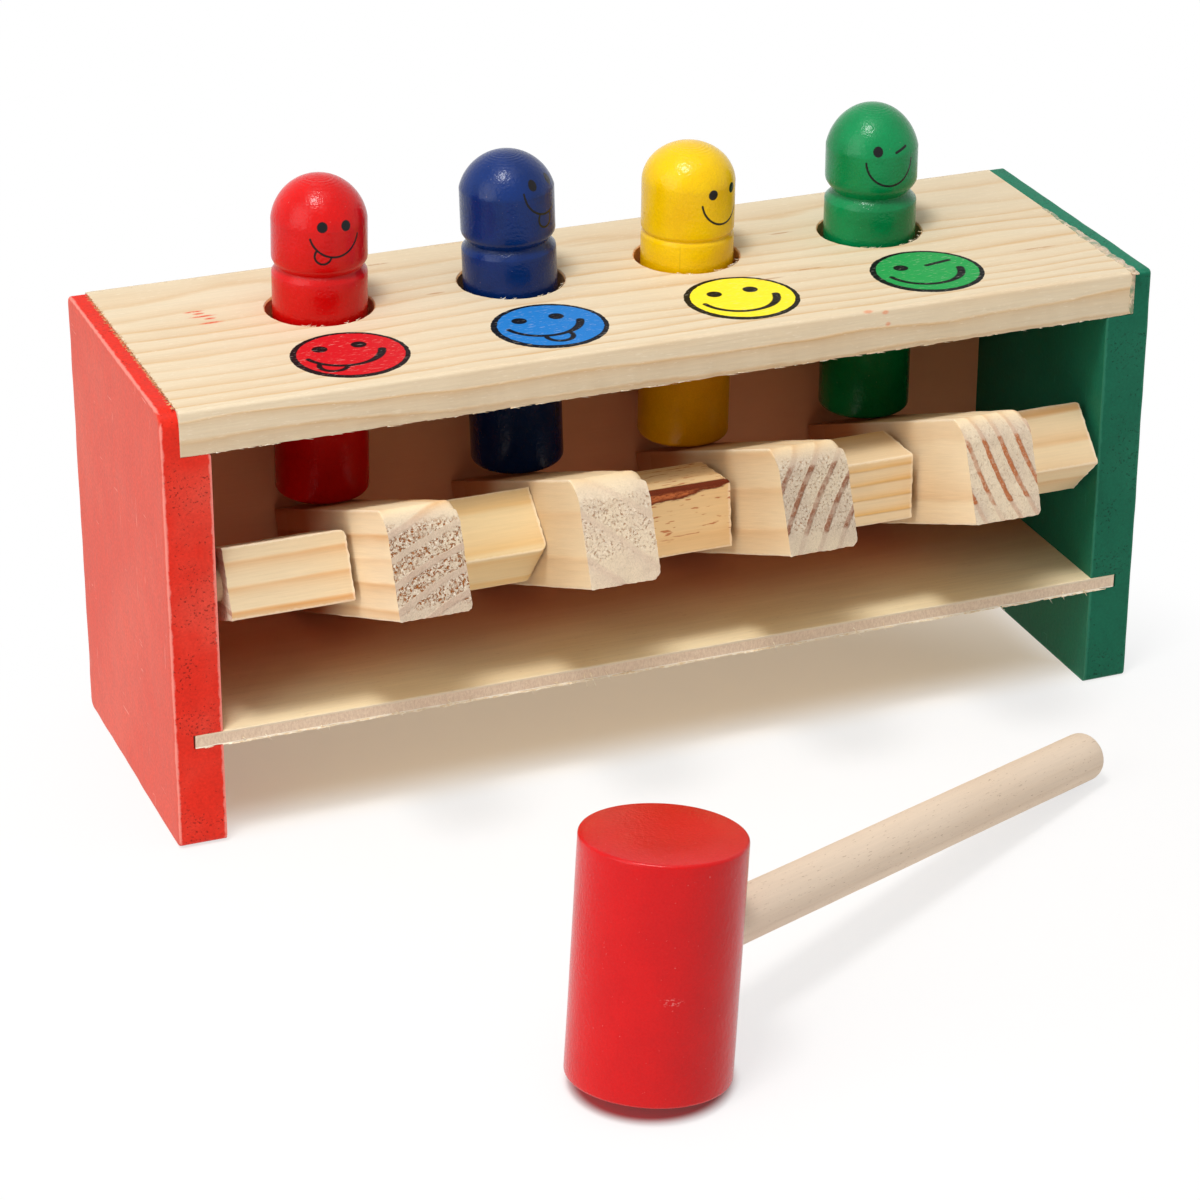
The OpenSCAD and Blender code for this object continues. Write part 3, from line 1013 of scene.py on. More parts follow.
def panel_shape(front_top, others, ease, seed):
    """The left panel with its outer face on x = 0 and the middle of its depth on y = 0."""
    section = [(0, 0), (panel_thickness, 0), (panel_thickness, floor_low.z),
               (groove_floor, floor_low.z), (groove_floor, floor_high.z),
               (panel_thickness, floor_high.z), (panel_thickness, shoulder_z), (lip, shoulder_z),
               (lip, panel_height), (0, panel_height)]
    bm = bmesh.new()
    face = bm.faces.new([bm.verts.new((x, -half_depth, z)) for x, z in section])
    pushed = bmesh.ops.extrude_face_region(bm, geom=[face])["geom"]
    moved = [item for item in pushed if isinstance(item, bmesh.types.BMVert)]
    bmesh.ops.translate(bm, vec=(0, bench_depth, 0), verts=moved)
    bmesh.ops.recalc_face_normals(bm, faces=bm.faces)

    def outer_corner(middle):
        at_corner = middle.z < TINY or middle.z > panel_height - TINY
        return at_corner and abs(abs(middle.y) - half_depth) < TINY

    def front_top_corner(middle):
        return outer_corner(middle) and middle.y < 0 and middle.z > shoulder_z

    def inner_arris(middle):
        at_groove = floor_low.z - 1e-4 < middle.z < floor_high.z + 1e-4
        return middle.x > panel_thickness - TINY and middle.z > TINY and not at_groove

    def upper_arris(middle):
        return abs(middle.x - lip) < TINY and middle.z > shoulder_z + 1e-4

    round_edges(bm, edges_along(bm, 0, front_top_corner), front_top, 6)
    round_edges(bm, edges_along(bm, 0, outer_corner), others, 5)
    outline = [edge for edge in bm.edges if all(vert.co.x < 1e-6 for vert in edge.verts)]
    round_edges(bm, outline, ease, 3)
    inner = edges_along(bm, 1, inner_arris) + edges_along(bm, 1, upper_arris)
    round_edges(bm, inner, inner_ease, 2)
    back_groove = block((groove_floor, back_low.y - bench_y, floor_high.z - 0.05 * MM),
                        (panel_thickness + 1 * MM, back_high.y - bench_y, shoulder_z + 0.05 * MM))
    seat = turn([(0, 0), (seat_radius, 0), (seat_radius, seat_depth), (0, seat_depth)], 48)
    lay_along_x(seat)
    shift(seat, seat_place + Vector((seat_floor, 0, 0)))
    bm = carve(carve(bm, back_groove), seat)
    slice_at(bm, 1, steps(-half_depth, half_depth, panel_slice))
    slice_at(bm, 2, steps(0, panel_height, panel_slice))

    def free_surface(point):
        return 1.0 if point.x < lip - 0.2 * MM and point.z > TINY else 0.0

    roughen(bm, 0.16 * MM, 120, seed, free_surface)
    return bm


# %% [markdown]
# The paint is sprayed straight on the fibreboard. On the big faces it dries to a soft, hazy
# coat with faint clouds and a few scratches, and their paler colour is partly a painted sheen.
# The cut edges drink more paint, so they are deeper in colour and keep tiny open pits. Along
# the arrises it is rubbed thin and pale. The top of the green panel is painted lighter, a
# painted highlight where the light from above falls.

# %% End panels: paint


def board_paint(name, place, half_size, face_paint_and_sheen, edge_colour, worn_colour, haze, lip_painted_light):
    material, graph, here = new_material(name, place)
    facing = graph.smooth(graph.end_grain(), 0.5, 0.95)
    # The big faces are paler than the cut edges, partly from thinner paint and partly as a painted
    # sheen.
    tone = graph.mix(facing, edge_colour, face_paint_and_sheen)
    _, _, z = graph.split(here)
    # Painted highlight: the top of the lip is made lighter, most on the green panel, where the
    # light from above falls.
    at_lip = graph.smooth(z, half_size[2] - 1.2 * MM, half_size[2] - 0.4 * MM)
    tone = graph.vary(tone, at_lip, 1.0, lip_painted_light)
    clouds = graph.noise(here, 22, 4.0, 0.6)
    tone = graph.cover(tone, haze, graph.smooth(clouds, 0.4, 0.7), 0.35)
    mottle = graph.noise(here, (260, 420, 200), 4.0, 0.7)
    tone = graph.vary(tone, mottle, 0.84, 1.14)
    speckle = graph.noise(here, 1300, 2.0, 0.6)
    tone = graph.vary(tone, speckle, 0.78, 1.2)
    pits = graph.noise(here, 1500, 2.0, 0.6)
    clusters = graph.patches(here, 90, 0.4, 0.6)
    pits = graph.smooth(pits, graph.spread(clusters, 0.68, 0.58),
                        graph.spread(clusters, 0.76, 0.66))
    pits = graph.times(pits, graph.spread(graph.flip(facing), 0.15, 1.0))
    tone = graph.vary(tone, pits, 1.0, 0.5)
    upright = graph.patches(here, (900, 1100, 90), 0.725, 0.77)
    level = graph.patches(here, (900, 120, 1300), 0.735, 0.78)
    scratch = graph.times(graph.most(upright, level), facing)
    wear = edge_wear(graph, here, half_size, 0.8 * MM, 500.0)
    rubbed = graph.most(graph.times(scratch, 0.7), graph.times(wear, 0.6))
    tone = graph.mix(rubbed, tone, worn_colour)
    peel = graph.noise(here, 900)
    roughness = graph.spread(mottle, 0.42, 0.58)
    height = graph.maths("MULTIPLY_ADD", pits, -1.5, peel)
    return coat(material, graph, tone, roughness, 0.1, height, 0.6, 0.1 * MM)


half_panel = (panel_thickness / 2, half_depth, panel_height / 2)


def panel_piece(name, place_x, mirrored, corners, ease, seed, material):
    bm = panel_shape(*corners, ease, seed)
    if mirrored:
        bmesh.ops.scale(bm, vec=(-1, 1, 1), verts=bm.verts)
        bmesh.ops.reverse_faces(bm, faces=bm.faces)
    return make_piece(name + "_painted", bm, "bench", material, [name], (1, 0, 0),
                      Matrix.Translation((place_x, bench_y, 0)))


left_middle = middle_of(left_low, left_high)
right_middle = middle_of(right_low, right_high)
red_board = board_paint("red_fibreboard", left_middle, half_panel, ink(222, 88, 70),
                        ink(222, 46, 30), ink(244, 164, 150), ink(232, 118, 98), 1.0)
green_board = board_paint("green_fibreboard", right_middle, half_panel, ink(30, 108, 80),
                          ink(22, 102, 76), ink(56, 132, 104), ink(44, 122, 94), 1.3)
panel_piece("left_end_panel", left_low.x, False, (4.5 * MM, 2.5 * MM), 0.6 * MM, 41,
            red_board)
panel_piece("right_end_panel", right_high.x, True, (1.2 * MM, 1.2 * MM), 0.5 * MM, 42,
            green_board)

# %% [markdown]
# Smiling faces are printed on the board and on the pegs: two eyes, a curved mouth, on some a
# tongue, and one face winks. They are all the same drawing with other values, so one group
# draws it. Its coordinates count from the middle of the mouth's arc, in mouth radii. An eye
# is a dot, or a short line when its end lies elsewhere. The tongue is a small arc that hangs
# from the mouth.

# %% Printed face as a shader group


def printed_face():
    inputs = {"Vector": (0, 0, 0), "Left Eye": (-0.5, 0.25, 0), "Right Eye": (0.5, 0.25, 0),
              "Right Eye End": (0.5, 0.25, 0), "Eye Size": 0.2, "Right Eye Size": 0.2,
              "Mouth Top": -0.2, "Tongue": (0, 0, 0), "Tongue Size": 0.0, "Stroke": 0.07,
              "Swell": 0.55}
    graph, given, result = new_group("printed face", inputs, ["Line"])
    wobble = graph.noise(given["Vector"], 9)
    sway = graph.join(graph.spread(wobble, -0.012, 0.012), 0.0, 0.0)
    across, up, _ = graph.split(graph.vectors("ADD", given["Vector"], sway))
    flat = graph.join(across, up, 0.0)
    soft = 0.018

    def inside(distance):
        return graph.fall(distance, -soft, soft)

    from_left = graph.vectors("DISTANCE", flat, given["Left Eye"])
    left = inside(graph.less(from_left, given["Eye Size"]))
    stretch = graph.vectors("SUBTRACT", given["Right Eye End"], given["Right Eye"])
    from_start = graph.vectors("SUBTRACT", flat, given["Right Eye"])
    along = graph.maths("DIVIDE", graph.vectors("DOT_PRODUCT", from_start, stretch),
                        graph.most(graph.vectors("DOT_PRODUCT", stretch, stretch), 1e-6),
                        clamp=True)
    nearest = graph.vectors("MULTIPLY", stretch, graph.triple(along))
    from_right = graph.vectors("DISTANCE", from_start, nearest)
    right = inside(graph.less(from_right, given["Right Eye Size"]))
    from_centre = graph.vectors("LENGTH", flat)
    growing = graph.times(graph.smooth(across, 0.2, 0.9), given["Swell"])
    half_stroke = graph.times(given["Stroke"], graph.maths("ADD", growing, 1.0))
    off_arc = graph.maths("ABSOLUTE", graph.less(from_centre, 1.0))
    below = inside(graph.less(up, given["Mouth Top"]))
    mouth = graph.times(inside(graph.less(off_arc, half_stroke)), below)
    top_squared = graph.times(given["Mouth Top"], given["Mouth Top"])
    half_mouth = graph.maths("SQRT", graph.flip(top_squared))
    end_reach = graph.times(half_mouth, graph.maths("SIGN", across))
    from_end = graph.vectors("DISTANCE", flat, graph.join(end_reach, given["Mouth Top"], 0.0))
    mouth = graph.most(mouth, inside(graph.less(from_end, half_stroke)))
    from_tongue = graph.vectors("DISTANCE", flat, given["Tongue"])
    off_tongue = graph.maths("ABSOLUTE", graph.less(from_tongue, given["Tongue Size"]))
    hanging = graph.smooth(from_centre, 0.97, 1.0)
    tongue = graph.times(inside(graph.less(off_tongue, given["Stroke"])), hanging)
    tongue = graph.times(tongue, graph.maths("GREATER_THAN", given["Tongue Size"], 0.01))
    graph.feed(result["Line"], graph.most(left, right, mouth, tongue))
    return graph.tree


def smile(left, right, mouth_top, tongue=(0, 0), tongue_size=0.0, wink_end=None, eye_size=0.2):
    """Values of one face; wink_end is where a winking right eye's line ends."""
    return {"Left Eye": (*left, 0), "Right Eye": (*right, 0),
            "Right Eye End": (*(wink_end or right), 0), "Right Eye Size": eye_size,
            "Mouth Top": mouth_top, "Tongue": (*tongue, 0), "Tongue Size": tongue_size}


face_group = printed_face()

# %% [markdown]
# The top board is planed pine, about three bands of summer wood to the centimetre. In front of
# each hole a disc is printed in the colour of its peg: black ring, bright fill, black face. The
# ink fills the fibres unevenly. A careless hand left red paint near the left end and at the
# front. The holes are tan inside, a light tan that is partly painted light falling into the
# gaps, with torn fibres on their rims.

# %% Top board: prints and stains
disc_y = -22 * MM
disc_radius = 14.5 * MM
fill_radius = 13.1 * MM
fill_shift = Vector((0.3 * MM, 0.35 * MM, 0))
face_radius = 9.7 * MM
discs = {
    "red": {"x": -77.0 * MM, "fill": ink(208, 26, 34), "mouth": (-1.0, 3.4),
            "face": smile((-0.50, 0.24), (0.51, 0.21), -0.28, (-0.50, -0.88), 0.35)},
    "blue": {"x": -25.7 * MM, "fill": ink(38, 122, 198), "mouth": (-1.0, 3.7),
             "face": smile((-0.51, 0.19), (0.48, 0.17), -0.28, (0.10, -1.09), 0.34)},
    "yellow": {"x": 25.4 * MM, "fill": ink(254, 232, 52), "mouth": (-0.6, 1.2),
               "face": smile((-0.50, 0.37), (0.50, 0.36), -0.18)},
    "green": {"x": 76.4 * MM, "fill": ink(42, 156, 78), "mouth": (-0.6, 1.2),
              "face": smile((-0.48, 0.33), (0.24, 0.27), -0.18, wink_end=(0.94, 0.42),
                            eye_size=0.07)},
}
print_black = ink(12, 9, 12)
hole_gap = 1.6 * MM
peg_radius = 11.9 * MM
hole_radius = peg_radius + hole_gap
hole_y = pivots["red"].y + 43.9 * MM - bench_y
pitch = 50 * MM
hole_drifts = {"red": 0.62, "blue": 0.88, "yellow": -0.44, "green": 0.44}
hole_x = {colour: (number - 1.5) * pitch + hole_drifts[colour] * hole_gap
          for number, colour in enumerate(COLOURS)}
stains = [(-104.2, 18.2, 5.7, 3.4), (-103.4, 16.6, 5.7, 2.0), (-103.0, 14.6, 5.7, 4.4),
          (-101.6, 12.6, 5.7, 2.0), (-102.0, 9.8, 5.7, 4.0)]
front_stains = [(51.0, -41.2, 5.6, 1.8), (55.6, -41.6, 4.8, 1.3), (56.4, -41.6, 1.6, 1.0)]
resin_dashes = [(53.0, 16.6, 5.7, 4.5), (49.0, -9.6, 5.7, 6.5), (37.0, -12.4, 5.7, 5.0),
                (-44.5, 8.6, 5.7, 3.2), (-19.0, 5.0, 5.7, 3.6), (110.0, -17.4, 5.7, 8.0),
                (-52.0, 33.0, 5.7, 5.0)]
marks_printed = [(stains, 0.75 * MM, 0.95, ink(220, 92, 62)),
                 (front_stains, 0.75 * MM, 0.6, ink(226, 122, 78)),
                 (resin_dashes, 0.6 * MM, 0.6, ink(178, 124, 80))]
hole_tan_and_light = ink(226, 156, 88)
print_blur = 0.1 * MM
half_board = tuple((board_high - board_low) / 2)


def print_board(graph, here, tone, roughness, height):
    _, _, z = graph.split(here)
    top = graph.smooth(z, half_board[2] - 0.0008, half_board[2] - 0.0003)
    ragged = graph.noise(here, (500, 1400, 1400), 3.0, 0.6)
    bleed = graph.noise(here, (220, 700, 700), 3.0, 0.6)
    for place in hole_x.values():
        sx, sy, _ = graph.split(graph.vectors("SUBTRACT", here, (place, hole_y, 0)))
        reach = graph.reach(sx, sy)
        # Painted light: the hole walls are a light tan, partly the drilled wood and partly light
        # that falls into the gaps.
        wall = graph.fall(reach, hole_radius + 0.0001, hole_radius + 0.0004)
        tone = graph.cover(tone, hole_tan_and_light, wall, 0.8)
    for values in discs.values():
        shifted = graph.vectors("SUBTRACT", here, (values["x"], disc_y, 0))
        wobble = graph.times(graph.less(bleed, 0.5), 0.0006)

        def reach_from(centre):
            sx, sy, _ = graph.split(graph.vectors("SUBTRACT", shifted, centre))
            return graph.maths("ADD", graph.reach(sx, sy), wobble)

        disc = graph.fall(reach_from((0, 0, 0)), disc_radius - print_blur, disc_radius + print_blur)
        ring = graph.smooth(reach_from(fill_shift), fill_radius - print_blur,
                            fill_radius + print_blur)
        mouth = (values["mouth"][0] * MM, values["mouth"][1] * MM, 0)
        face_point = graph.vectors("MULTIPLY", graph.vectors("SUBTRACT", shifted, mouth),
                                   (1 / face_radius, 1 / face_radius, 0))
        line = graph.place(face_group, {"Vector": face_point, **values["face"]})["Line"]
        black = graph.most(ring, line)
        fill = graph.cover(values["fill"], pine_pale, graph.smooth(ragged, 0.6, 0.75), 0.16)
        fill = graph.vary(fill, ragged, 0.9, 1.1)
        printed = graph.cover(fill, print_black, black, graph.spread(ragged, 0.985, 1.0))
        tone = graph.cover(tone, printed, disc, top)
    streak = graph.patches(here, (500, 1800, 1800), 0.3, 0.5, 3.0, 0.65)
    for marks, narrow, strength, mark_colour in marks_printed:
        for mark_x, mark_y, mark_z, reach_x in marks:
            offset = graph.vectors("SUBTRACT", here, (mark_x * MM, mark_y * MM, mark_z * MM))
            offset = graph.vectors("MULTIPLY", offset, (1 / (reach_x * MM), 1 / narrow, 1 / narrow))
            spot = graph.fall(graph.vectors("LENGTH", offset), 0.35, 1.0)
            tone = graph.cover(tone, mark_colour, spot, streak, strength)
    # Pale flecks of fibre that also stand in for their sparkle, a painted glint.
    fleck = graph.patches(here, (420, 2400, 2400), 0.62, 0.7, 2.0, 0.6)
    tone = graph.cover(tone, chip_and_glint_white, fleck, 0.22)
    return tone, roughness, height


# %% [markdown]
# The board itself is a block, sliced into narrow strips so that its lower front edge can be
# torn a little, as a planer leaves it. The hole cutters are turned shapes with a small flare
# at the top and noise round them, so no rim is a perfect circle.

# %% Top board: shape
upper_ease, lower_ease = 0.9 * MM, 0.4 * MM
board_slice = 1.1 * MM
flare = 0.35 * MM


def hole_cutter(seed):
    rim = half_board[2]
    outline = [(0, -rim - 2 * MM), (hole_radius + 0.2 * MM, -rim - 2 * MM),
               (hole_radius, -rim + 0.5 * MM), (hole_radius, 0), (hole_radius, rim - flare),
               (hole_radius + flare, rim), (hole_radius + 2 * flare, rim + 1 * MM),
               (0, rim + 1 * MM)]
    bm = turn(outline, 120)

    def torn(point):
        return 0.16 * MM * drift(point, 900, seed) + 0.12 * MM * drift(point, 300, seed + 1)

    push_outwards(bm, torn, lambda reach, point: reach > hole_radius / 2)
    return bm


def board_shape():
    bm, low, high = centred_block(half_board)
    round_edges(bm, edges_along(bm, 0, lambda middle: middle.z > 0), upper_ease, 3)
    round_edges(bm, edges_along(bm, 0, lambda middle: middle.z < -high.z + TINY), lower_ease, 2)
    slice_at(bm, 0, steps(low.x, high.x, board_slice))
    slice_at(bm, 1, [low.y + 1.2 * MM, low.y + 3 * MM, high.y - 2 * MM])

    def free_face(point):
        return 0.0 if abs(point.x) > high.x - 0.2 * MM else 1.0

    def torn_arris(point):
        front = point.y < low.y + 0.6 * MM
        return free_face(point) * (1.0 if front and point.z < low.z + 0.8 * MM else 0.1)

    roughen(bm, 0.22 * MM, 420, 51, torn_arris)
    roughen(bm, 0.08 * MM, 40, 52, free_face)
    for number, colour in enumerate(COLOURS):
        cutter = hole_cutter(60 + number)
        shift(cutter, (hole_x[colour], hole_y, 0))
        bm = carve(bm, cutter)
    return bm


board_place = middle_of(board_low, board_high)
board_wood = pine("pine_board", board_place, half_board, (0.055, -0.078), 0.0038, 2.6, 5.0, 0.62,
                  ink(230, 215, 187), ink(210, 170, 118), summer=0.16, line=0.24, worn=0.06,
                  sheen=0.08, extra=print_board)
make_piece("top_board_printed", board_shape(), "bench", board_wood, ["top_board"],
           (1, 0, 0), board_place)

# %% [markdown]
# The floor board and the back board are thin plywood: a pale face veneer, and edges that show
# three layers. The saw ran along the front edge and lifted slivers of the lower veneer. They
# are small wedges of wood that stay on the edge. Inside the bench their faces are painted
# darker and redder, a painted warm shade.

# %% Thin boards: wood
ply_cloud = ink(218, 186, 140)
ply_fleck = ink(176, 128, 84)
core_dark = ink(212, 186, 160)
core_pale = ink(230, 208, 182)
upper_veneer = ink(226, 208, 182)
floor_veneer, floor_painted_shade = ink(246, 230, 190), ink(250, 156, 100)
back_veneer, back_painted_shade = ink(240, 214, 176), ink(232, 160, 114)
half_core = (1.22 * MM, 1.38 * MM)


def ply(name, place, half_size, face, seed, inner, tint):
    material, graph, here = new_material(name, place)
    _, y, z = graph.split(here)
    there = graph.vectors("ADD", here, (seed, seed * 0.7, seed * 0.3))
    fibre = graph.noise(there, (50, 900, 900), 4.0, 0.65)
    cloud = graph.noise(there, (9, 45, 45), 3.0, 0.55)
    tone = graph.cover(face, ply_cloud, graph.smooth(cloud, 0.35, 0.7), 0.4)
    tone = graph.vary(tone, fibre, 0.86, 1.1)
    fleck = graph.patches(there, (420, 2600, 2600), 0.66, 0.74, 2.0, 0.6)
    tone = graph.cover(tone, ply_fleck, fleck, 0.35)
    # Painted warm shade: inside the bench the faces turn darker and redder.
    if half_size[2] < half_size[1]:
        painted_shade_inside = graph.times(graph.smooth(y, -36 * MM, 6 * MM), graph.smooth(z, 0.0, 1 * MM),
                              graph.fall(y, back_front, back_front + 1 * MM))
    else:
        painted_shade_inside = graph.fall(y, -0.5 * MM, 0.5 * MM)
    tone = graph.cover(tone, inner, painted_shade_inside, tint)
    cut = graph.fall(graph.end_grain(), 0.4, 0.9)
    thin = z if half_size[2] < half_size[1] else y
    off_core = graph.maths("ABSOLUTE", graph.maths("ADD", thin, 0.1 * MM))
    core = graph.fall(off_core, *half_core)
    core_grain = graph.noise(there, (2400, 2400, 1100), 3.0, 0.7)
    core_tone = graph.mix(graph.smooth(core_grain, 0.3, 0.7), core_dark, core_pale)
    veneer = graph.mix(graph.smooth(thin, -0.1 * MM, 0.1 * MM), chip_and_glint_white, upper_veneer)
    layer = graph.mix(core, graph.vary(veneer, fibre, 0.9, 1.04), core_tone)
    tone = graph.mix(cut, tone, layer)
    height = graph.maths("MULTIPLY_ADD", core, graph.times(cut, -0.8), fibre)
    return coat(material, graph, tone, graph.spread(fibre, 0.55, 0.75), 0.18, height, 0.8, 0.1 * MM)


# %% Thin boards: shape and pieces
rng = random.Random(7)
loose_slivers = 70
floor_slice, back_slice = 1.3 * MM, 8 * MM
sawn_ease = 0.2 * MM


def sliver(length, thickness):
    """A thin wedge of torn wood that lies along X."""
    bm = bmesh.new()
    bmesh.ops.create_cone(bm, cap_ends=True, segments=5, radius1=thickness,
                          radius2=thickness * 0.15, depth=length)
    lay_along_x(bm)
    return bm


def join_shape(target, source, place):
    """Adds a copy of one bmesh to another at a place."""
    source.transform(place)
    mesh = bpy.data.meshes.new("joined")
    source.to_mesh(mesh)
    source.free()
    target.from_mesh(mesh)
    bpy.data.meshes.remove(mesh)


def floor_shape(half_size):
    bm, low, high = centred_block(half_size)
    round_edges(bm, edges_along(bm, 0, lambda middle: True), sawn_ease, 1)
    slice_at(bm, 0, steps(low.x, high.x, floor_slice))

    def torn_edge(point):
        return 1.0 if point.y < low.y + 0.3 * MM and point.z < low.z + 0.4 * MM else 0.1

    roughen(bm, 0.2 * MM, 500, 71, torn_edge)
    for _ in range(loose_slivers):
        length = rng.uniform(1.5, 6.5) * MM
        droop = rng.uniform(10, 60) if rng.random() < 0.2 else rng.uniform(-3, 5)
        bend = Euler((0, math.radians(droop), math.radians(rng.uniform(-8, 8))))
        spot = Vector((rng.uniform(low.x + 14 * MM, high.x - 14 * MM),
                       low.y + rng.uniform(-0.05, 0.2) * MM, low.z + rng.uniform(-0.1, 0.1) * MM))
        join_shape(bm, sliver(length, rng.uniform(0.07, 0.16) * MM),
                   Matrix.Translation(spot) @ bend.to_matrix().to_4x4())
    return bm


def back_shape(half_size):
    bm, low, high = centred_block(half_size)
    round_edges(bm, edges_along(bm, 0, lambda middle: True), sawn_ease, 1)
    slice_at(bm, 0, steps(low.x, high.x, back_slice))
    slice_at(bm, 2, steps(low.z, high.z, back_slice))
    roughen(bm, 0.05 * MM, 60, 72)
    return bm


half_floor = tuple((floor_high - floor_low) / 2)
half_back = tuple((back_high - back_low) / 2)
floor_place = middle_of(floor_low, floor_high)
back_place = middle_of(back_low, back_high)
back_front = back_low.y - floor_place.translation.y
floor_ply = ply("floor_ply", floor_place, half_floor, floor_veneer, 2.0, floor_painted_shade, 0.8)
back_ply = ply("back_ply", back_place, half_back, back_veneer, 6.0, back_painted_shade, 1.0)
make_piece("floor_board_ply", floor_shape(half_floor), "bench", floor_ply,
           ["floor_board"], (0, 0, 1), floor_place)
make_piece("back_board_ply", back_shape(half_back), "bench", back_ply, ["back_board"],
           (0, 1, 0), back_place)

# %% [markdown]
# The dowel and the mallet's handle are beech: pale, fine, with short brown flecks along the
# grain and hardly any bands. One material makes both, with other values.

# %% Beech
beech_fleck = ink(158, 118, 84)


def beech(name, place, pale, dark, seed, fleck_share):
    """Bare beech; the grain runs along the piece's own Z."""
    material, graph, here = new_material(name, place)
    x, y, z = graph.split(here)
    along = graph.join(z, x, y)
    rings = graph.place(rings_group, {"Vector": along, "Pith": (0, 0.02, 0.01),
                                      "Ring Width": 0.0023, "Wander": 0.8, "Seed": seed})
    tone = graph.cover(pale, dark, rings["Late"], 0.4)
    tone = graph.cover(tone, dark, graph.smooth(rings["Blotch"], 0.4, 0.7), 0.3)
    tone = graph.vary(tone, rings["Fibre"], 0.92, 1.06)
    fleck = graph.patches(along, (520, 3200, 3200), 0.64, 0.72, 2.0, 0.6)
    tone = graph.cover(tone, beech_fleck, fleck, fleck_share)
    roughness = graph.spread(rings["Fibre"], 0.45, 0.65)
    height = graph.maths("MULTIPLY_ADD", fleck, -0.6, rings["Fibre"])
    return coat(material, graph, tone, roughness, 0.18, height, 0.6, 0.06 * MM)


def rod(radius, length, end_round, seed):
    """A dowel along Z from 0 to its length, with eased ends and a slightly uneven skin."""
    outline = [(0, 0), *arc((radius - end_round, end_round), end_round, -90, 0, 4)]
    stations = steps(end_round, length - end_round, 4 * MM)
    outline += [(radius, height) for height in stations]
    outline += [*arc((radius - end_round, length - end_round), end_round, 0, 90, 4), (0, length)]
    bm = turn(outline, 64)
    roughen(bm, 0.07 * MM, 90, seed)
    return bm


dowel_radius = (dowel_high.z - dowel_low.z) / 2
dowel_place = (Matrix.Translation((dowel_low.x, pivots["red"].y, pivots["red"].z))
               @ Matrix.Rotation(math.pi / 2, 4, "Y"))
dowel_wood = beech("beech_dowel", dowel_place, ink(226, 200, 162), ink(200, 166, 124), 3.0, 0.4)
make_piece("axle_dowel_beech", rod(dowel_radius, dowel_high.x - dowel_low.x, 0.5 * MM, 81), "bench",
           dowel_wood, ["axle_dowel"], (0, 0, 1), dowel_place)

# %% [markdown]
# The pegs and the mallet's head are dipped in gloss lacquer. The lacquer is smooth but never
# flat: it has a fine orange peel that breaks up the highlight, tool rings from the lathe show
# through near the top, and grit stays in it as small pale or dark specks. The bump is strong
# but its grains are smaller than a millimetre, so it only shows where a lamp is mirrored.

# %% Lacquer as a shader group


def lacquer_skin():
    inputs = {"Vector": (0, 0, 0), "Seed": 0.0, "Top": 1.0}
    graph, given, result = new_group("lacquer skin", inputs, ["Cloud", "Grit", "Dust", "Peel"])
    there = graph.vectors("ADD", given["Vector"], graph.triple(given["Seed"]))
    graph.feed(result["Cloud"], graph.noise(there, 60, 3.0, 0.6))
    grit = graph.noise(there, 620)
    graph.feed(result["Grit"], graph.smooth(grit, 0.70, 0.76))
    dust = graph.noise(there, 1300)
    graph.feed(result["Dust"], graph.smooth(dust, 0.72, 0.78))
    peel = graph.noise(there, 1250, 2.0, 0.55)
    waves = graph.noise(there, (170, 170, 260))
    x, y, z = graph.split(given["Vector"])
    reach = graph.reach(x, y)
    rings = graph.maths("SINE", graph.times(reach, 7000.0))
    near_top = graph.smooth(z, graph.less(given["Top"], 3 * MM), given["Top"])
    cap = graph.times(near_top, graph.smooth(reach, 2.4 * MM, 3.4 * MM))
    height = graph.maths("MULTIPLY_ADD", waves, 1.2, graph.times(peel, 1.3))
    graph.feed(result["Peel"], graph.maths("MULTIPLY_ADD", graph.times(rings, cap), 0.45, height))
    return graph.tree


skin_group = lacquer_skin()
lacquer_gloss = 0.25
speck_pale = ink(244, 214, 206)
rubbed_pale = ink(236, 176, 170)


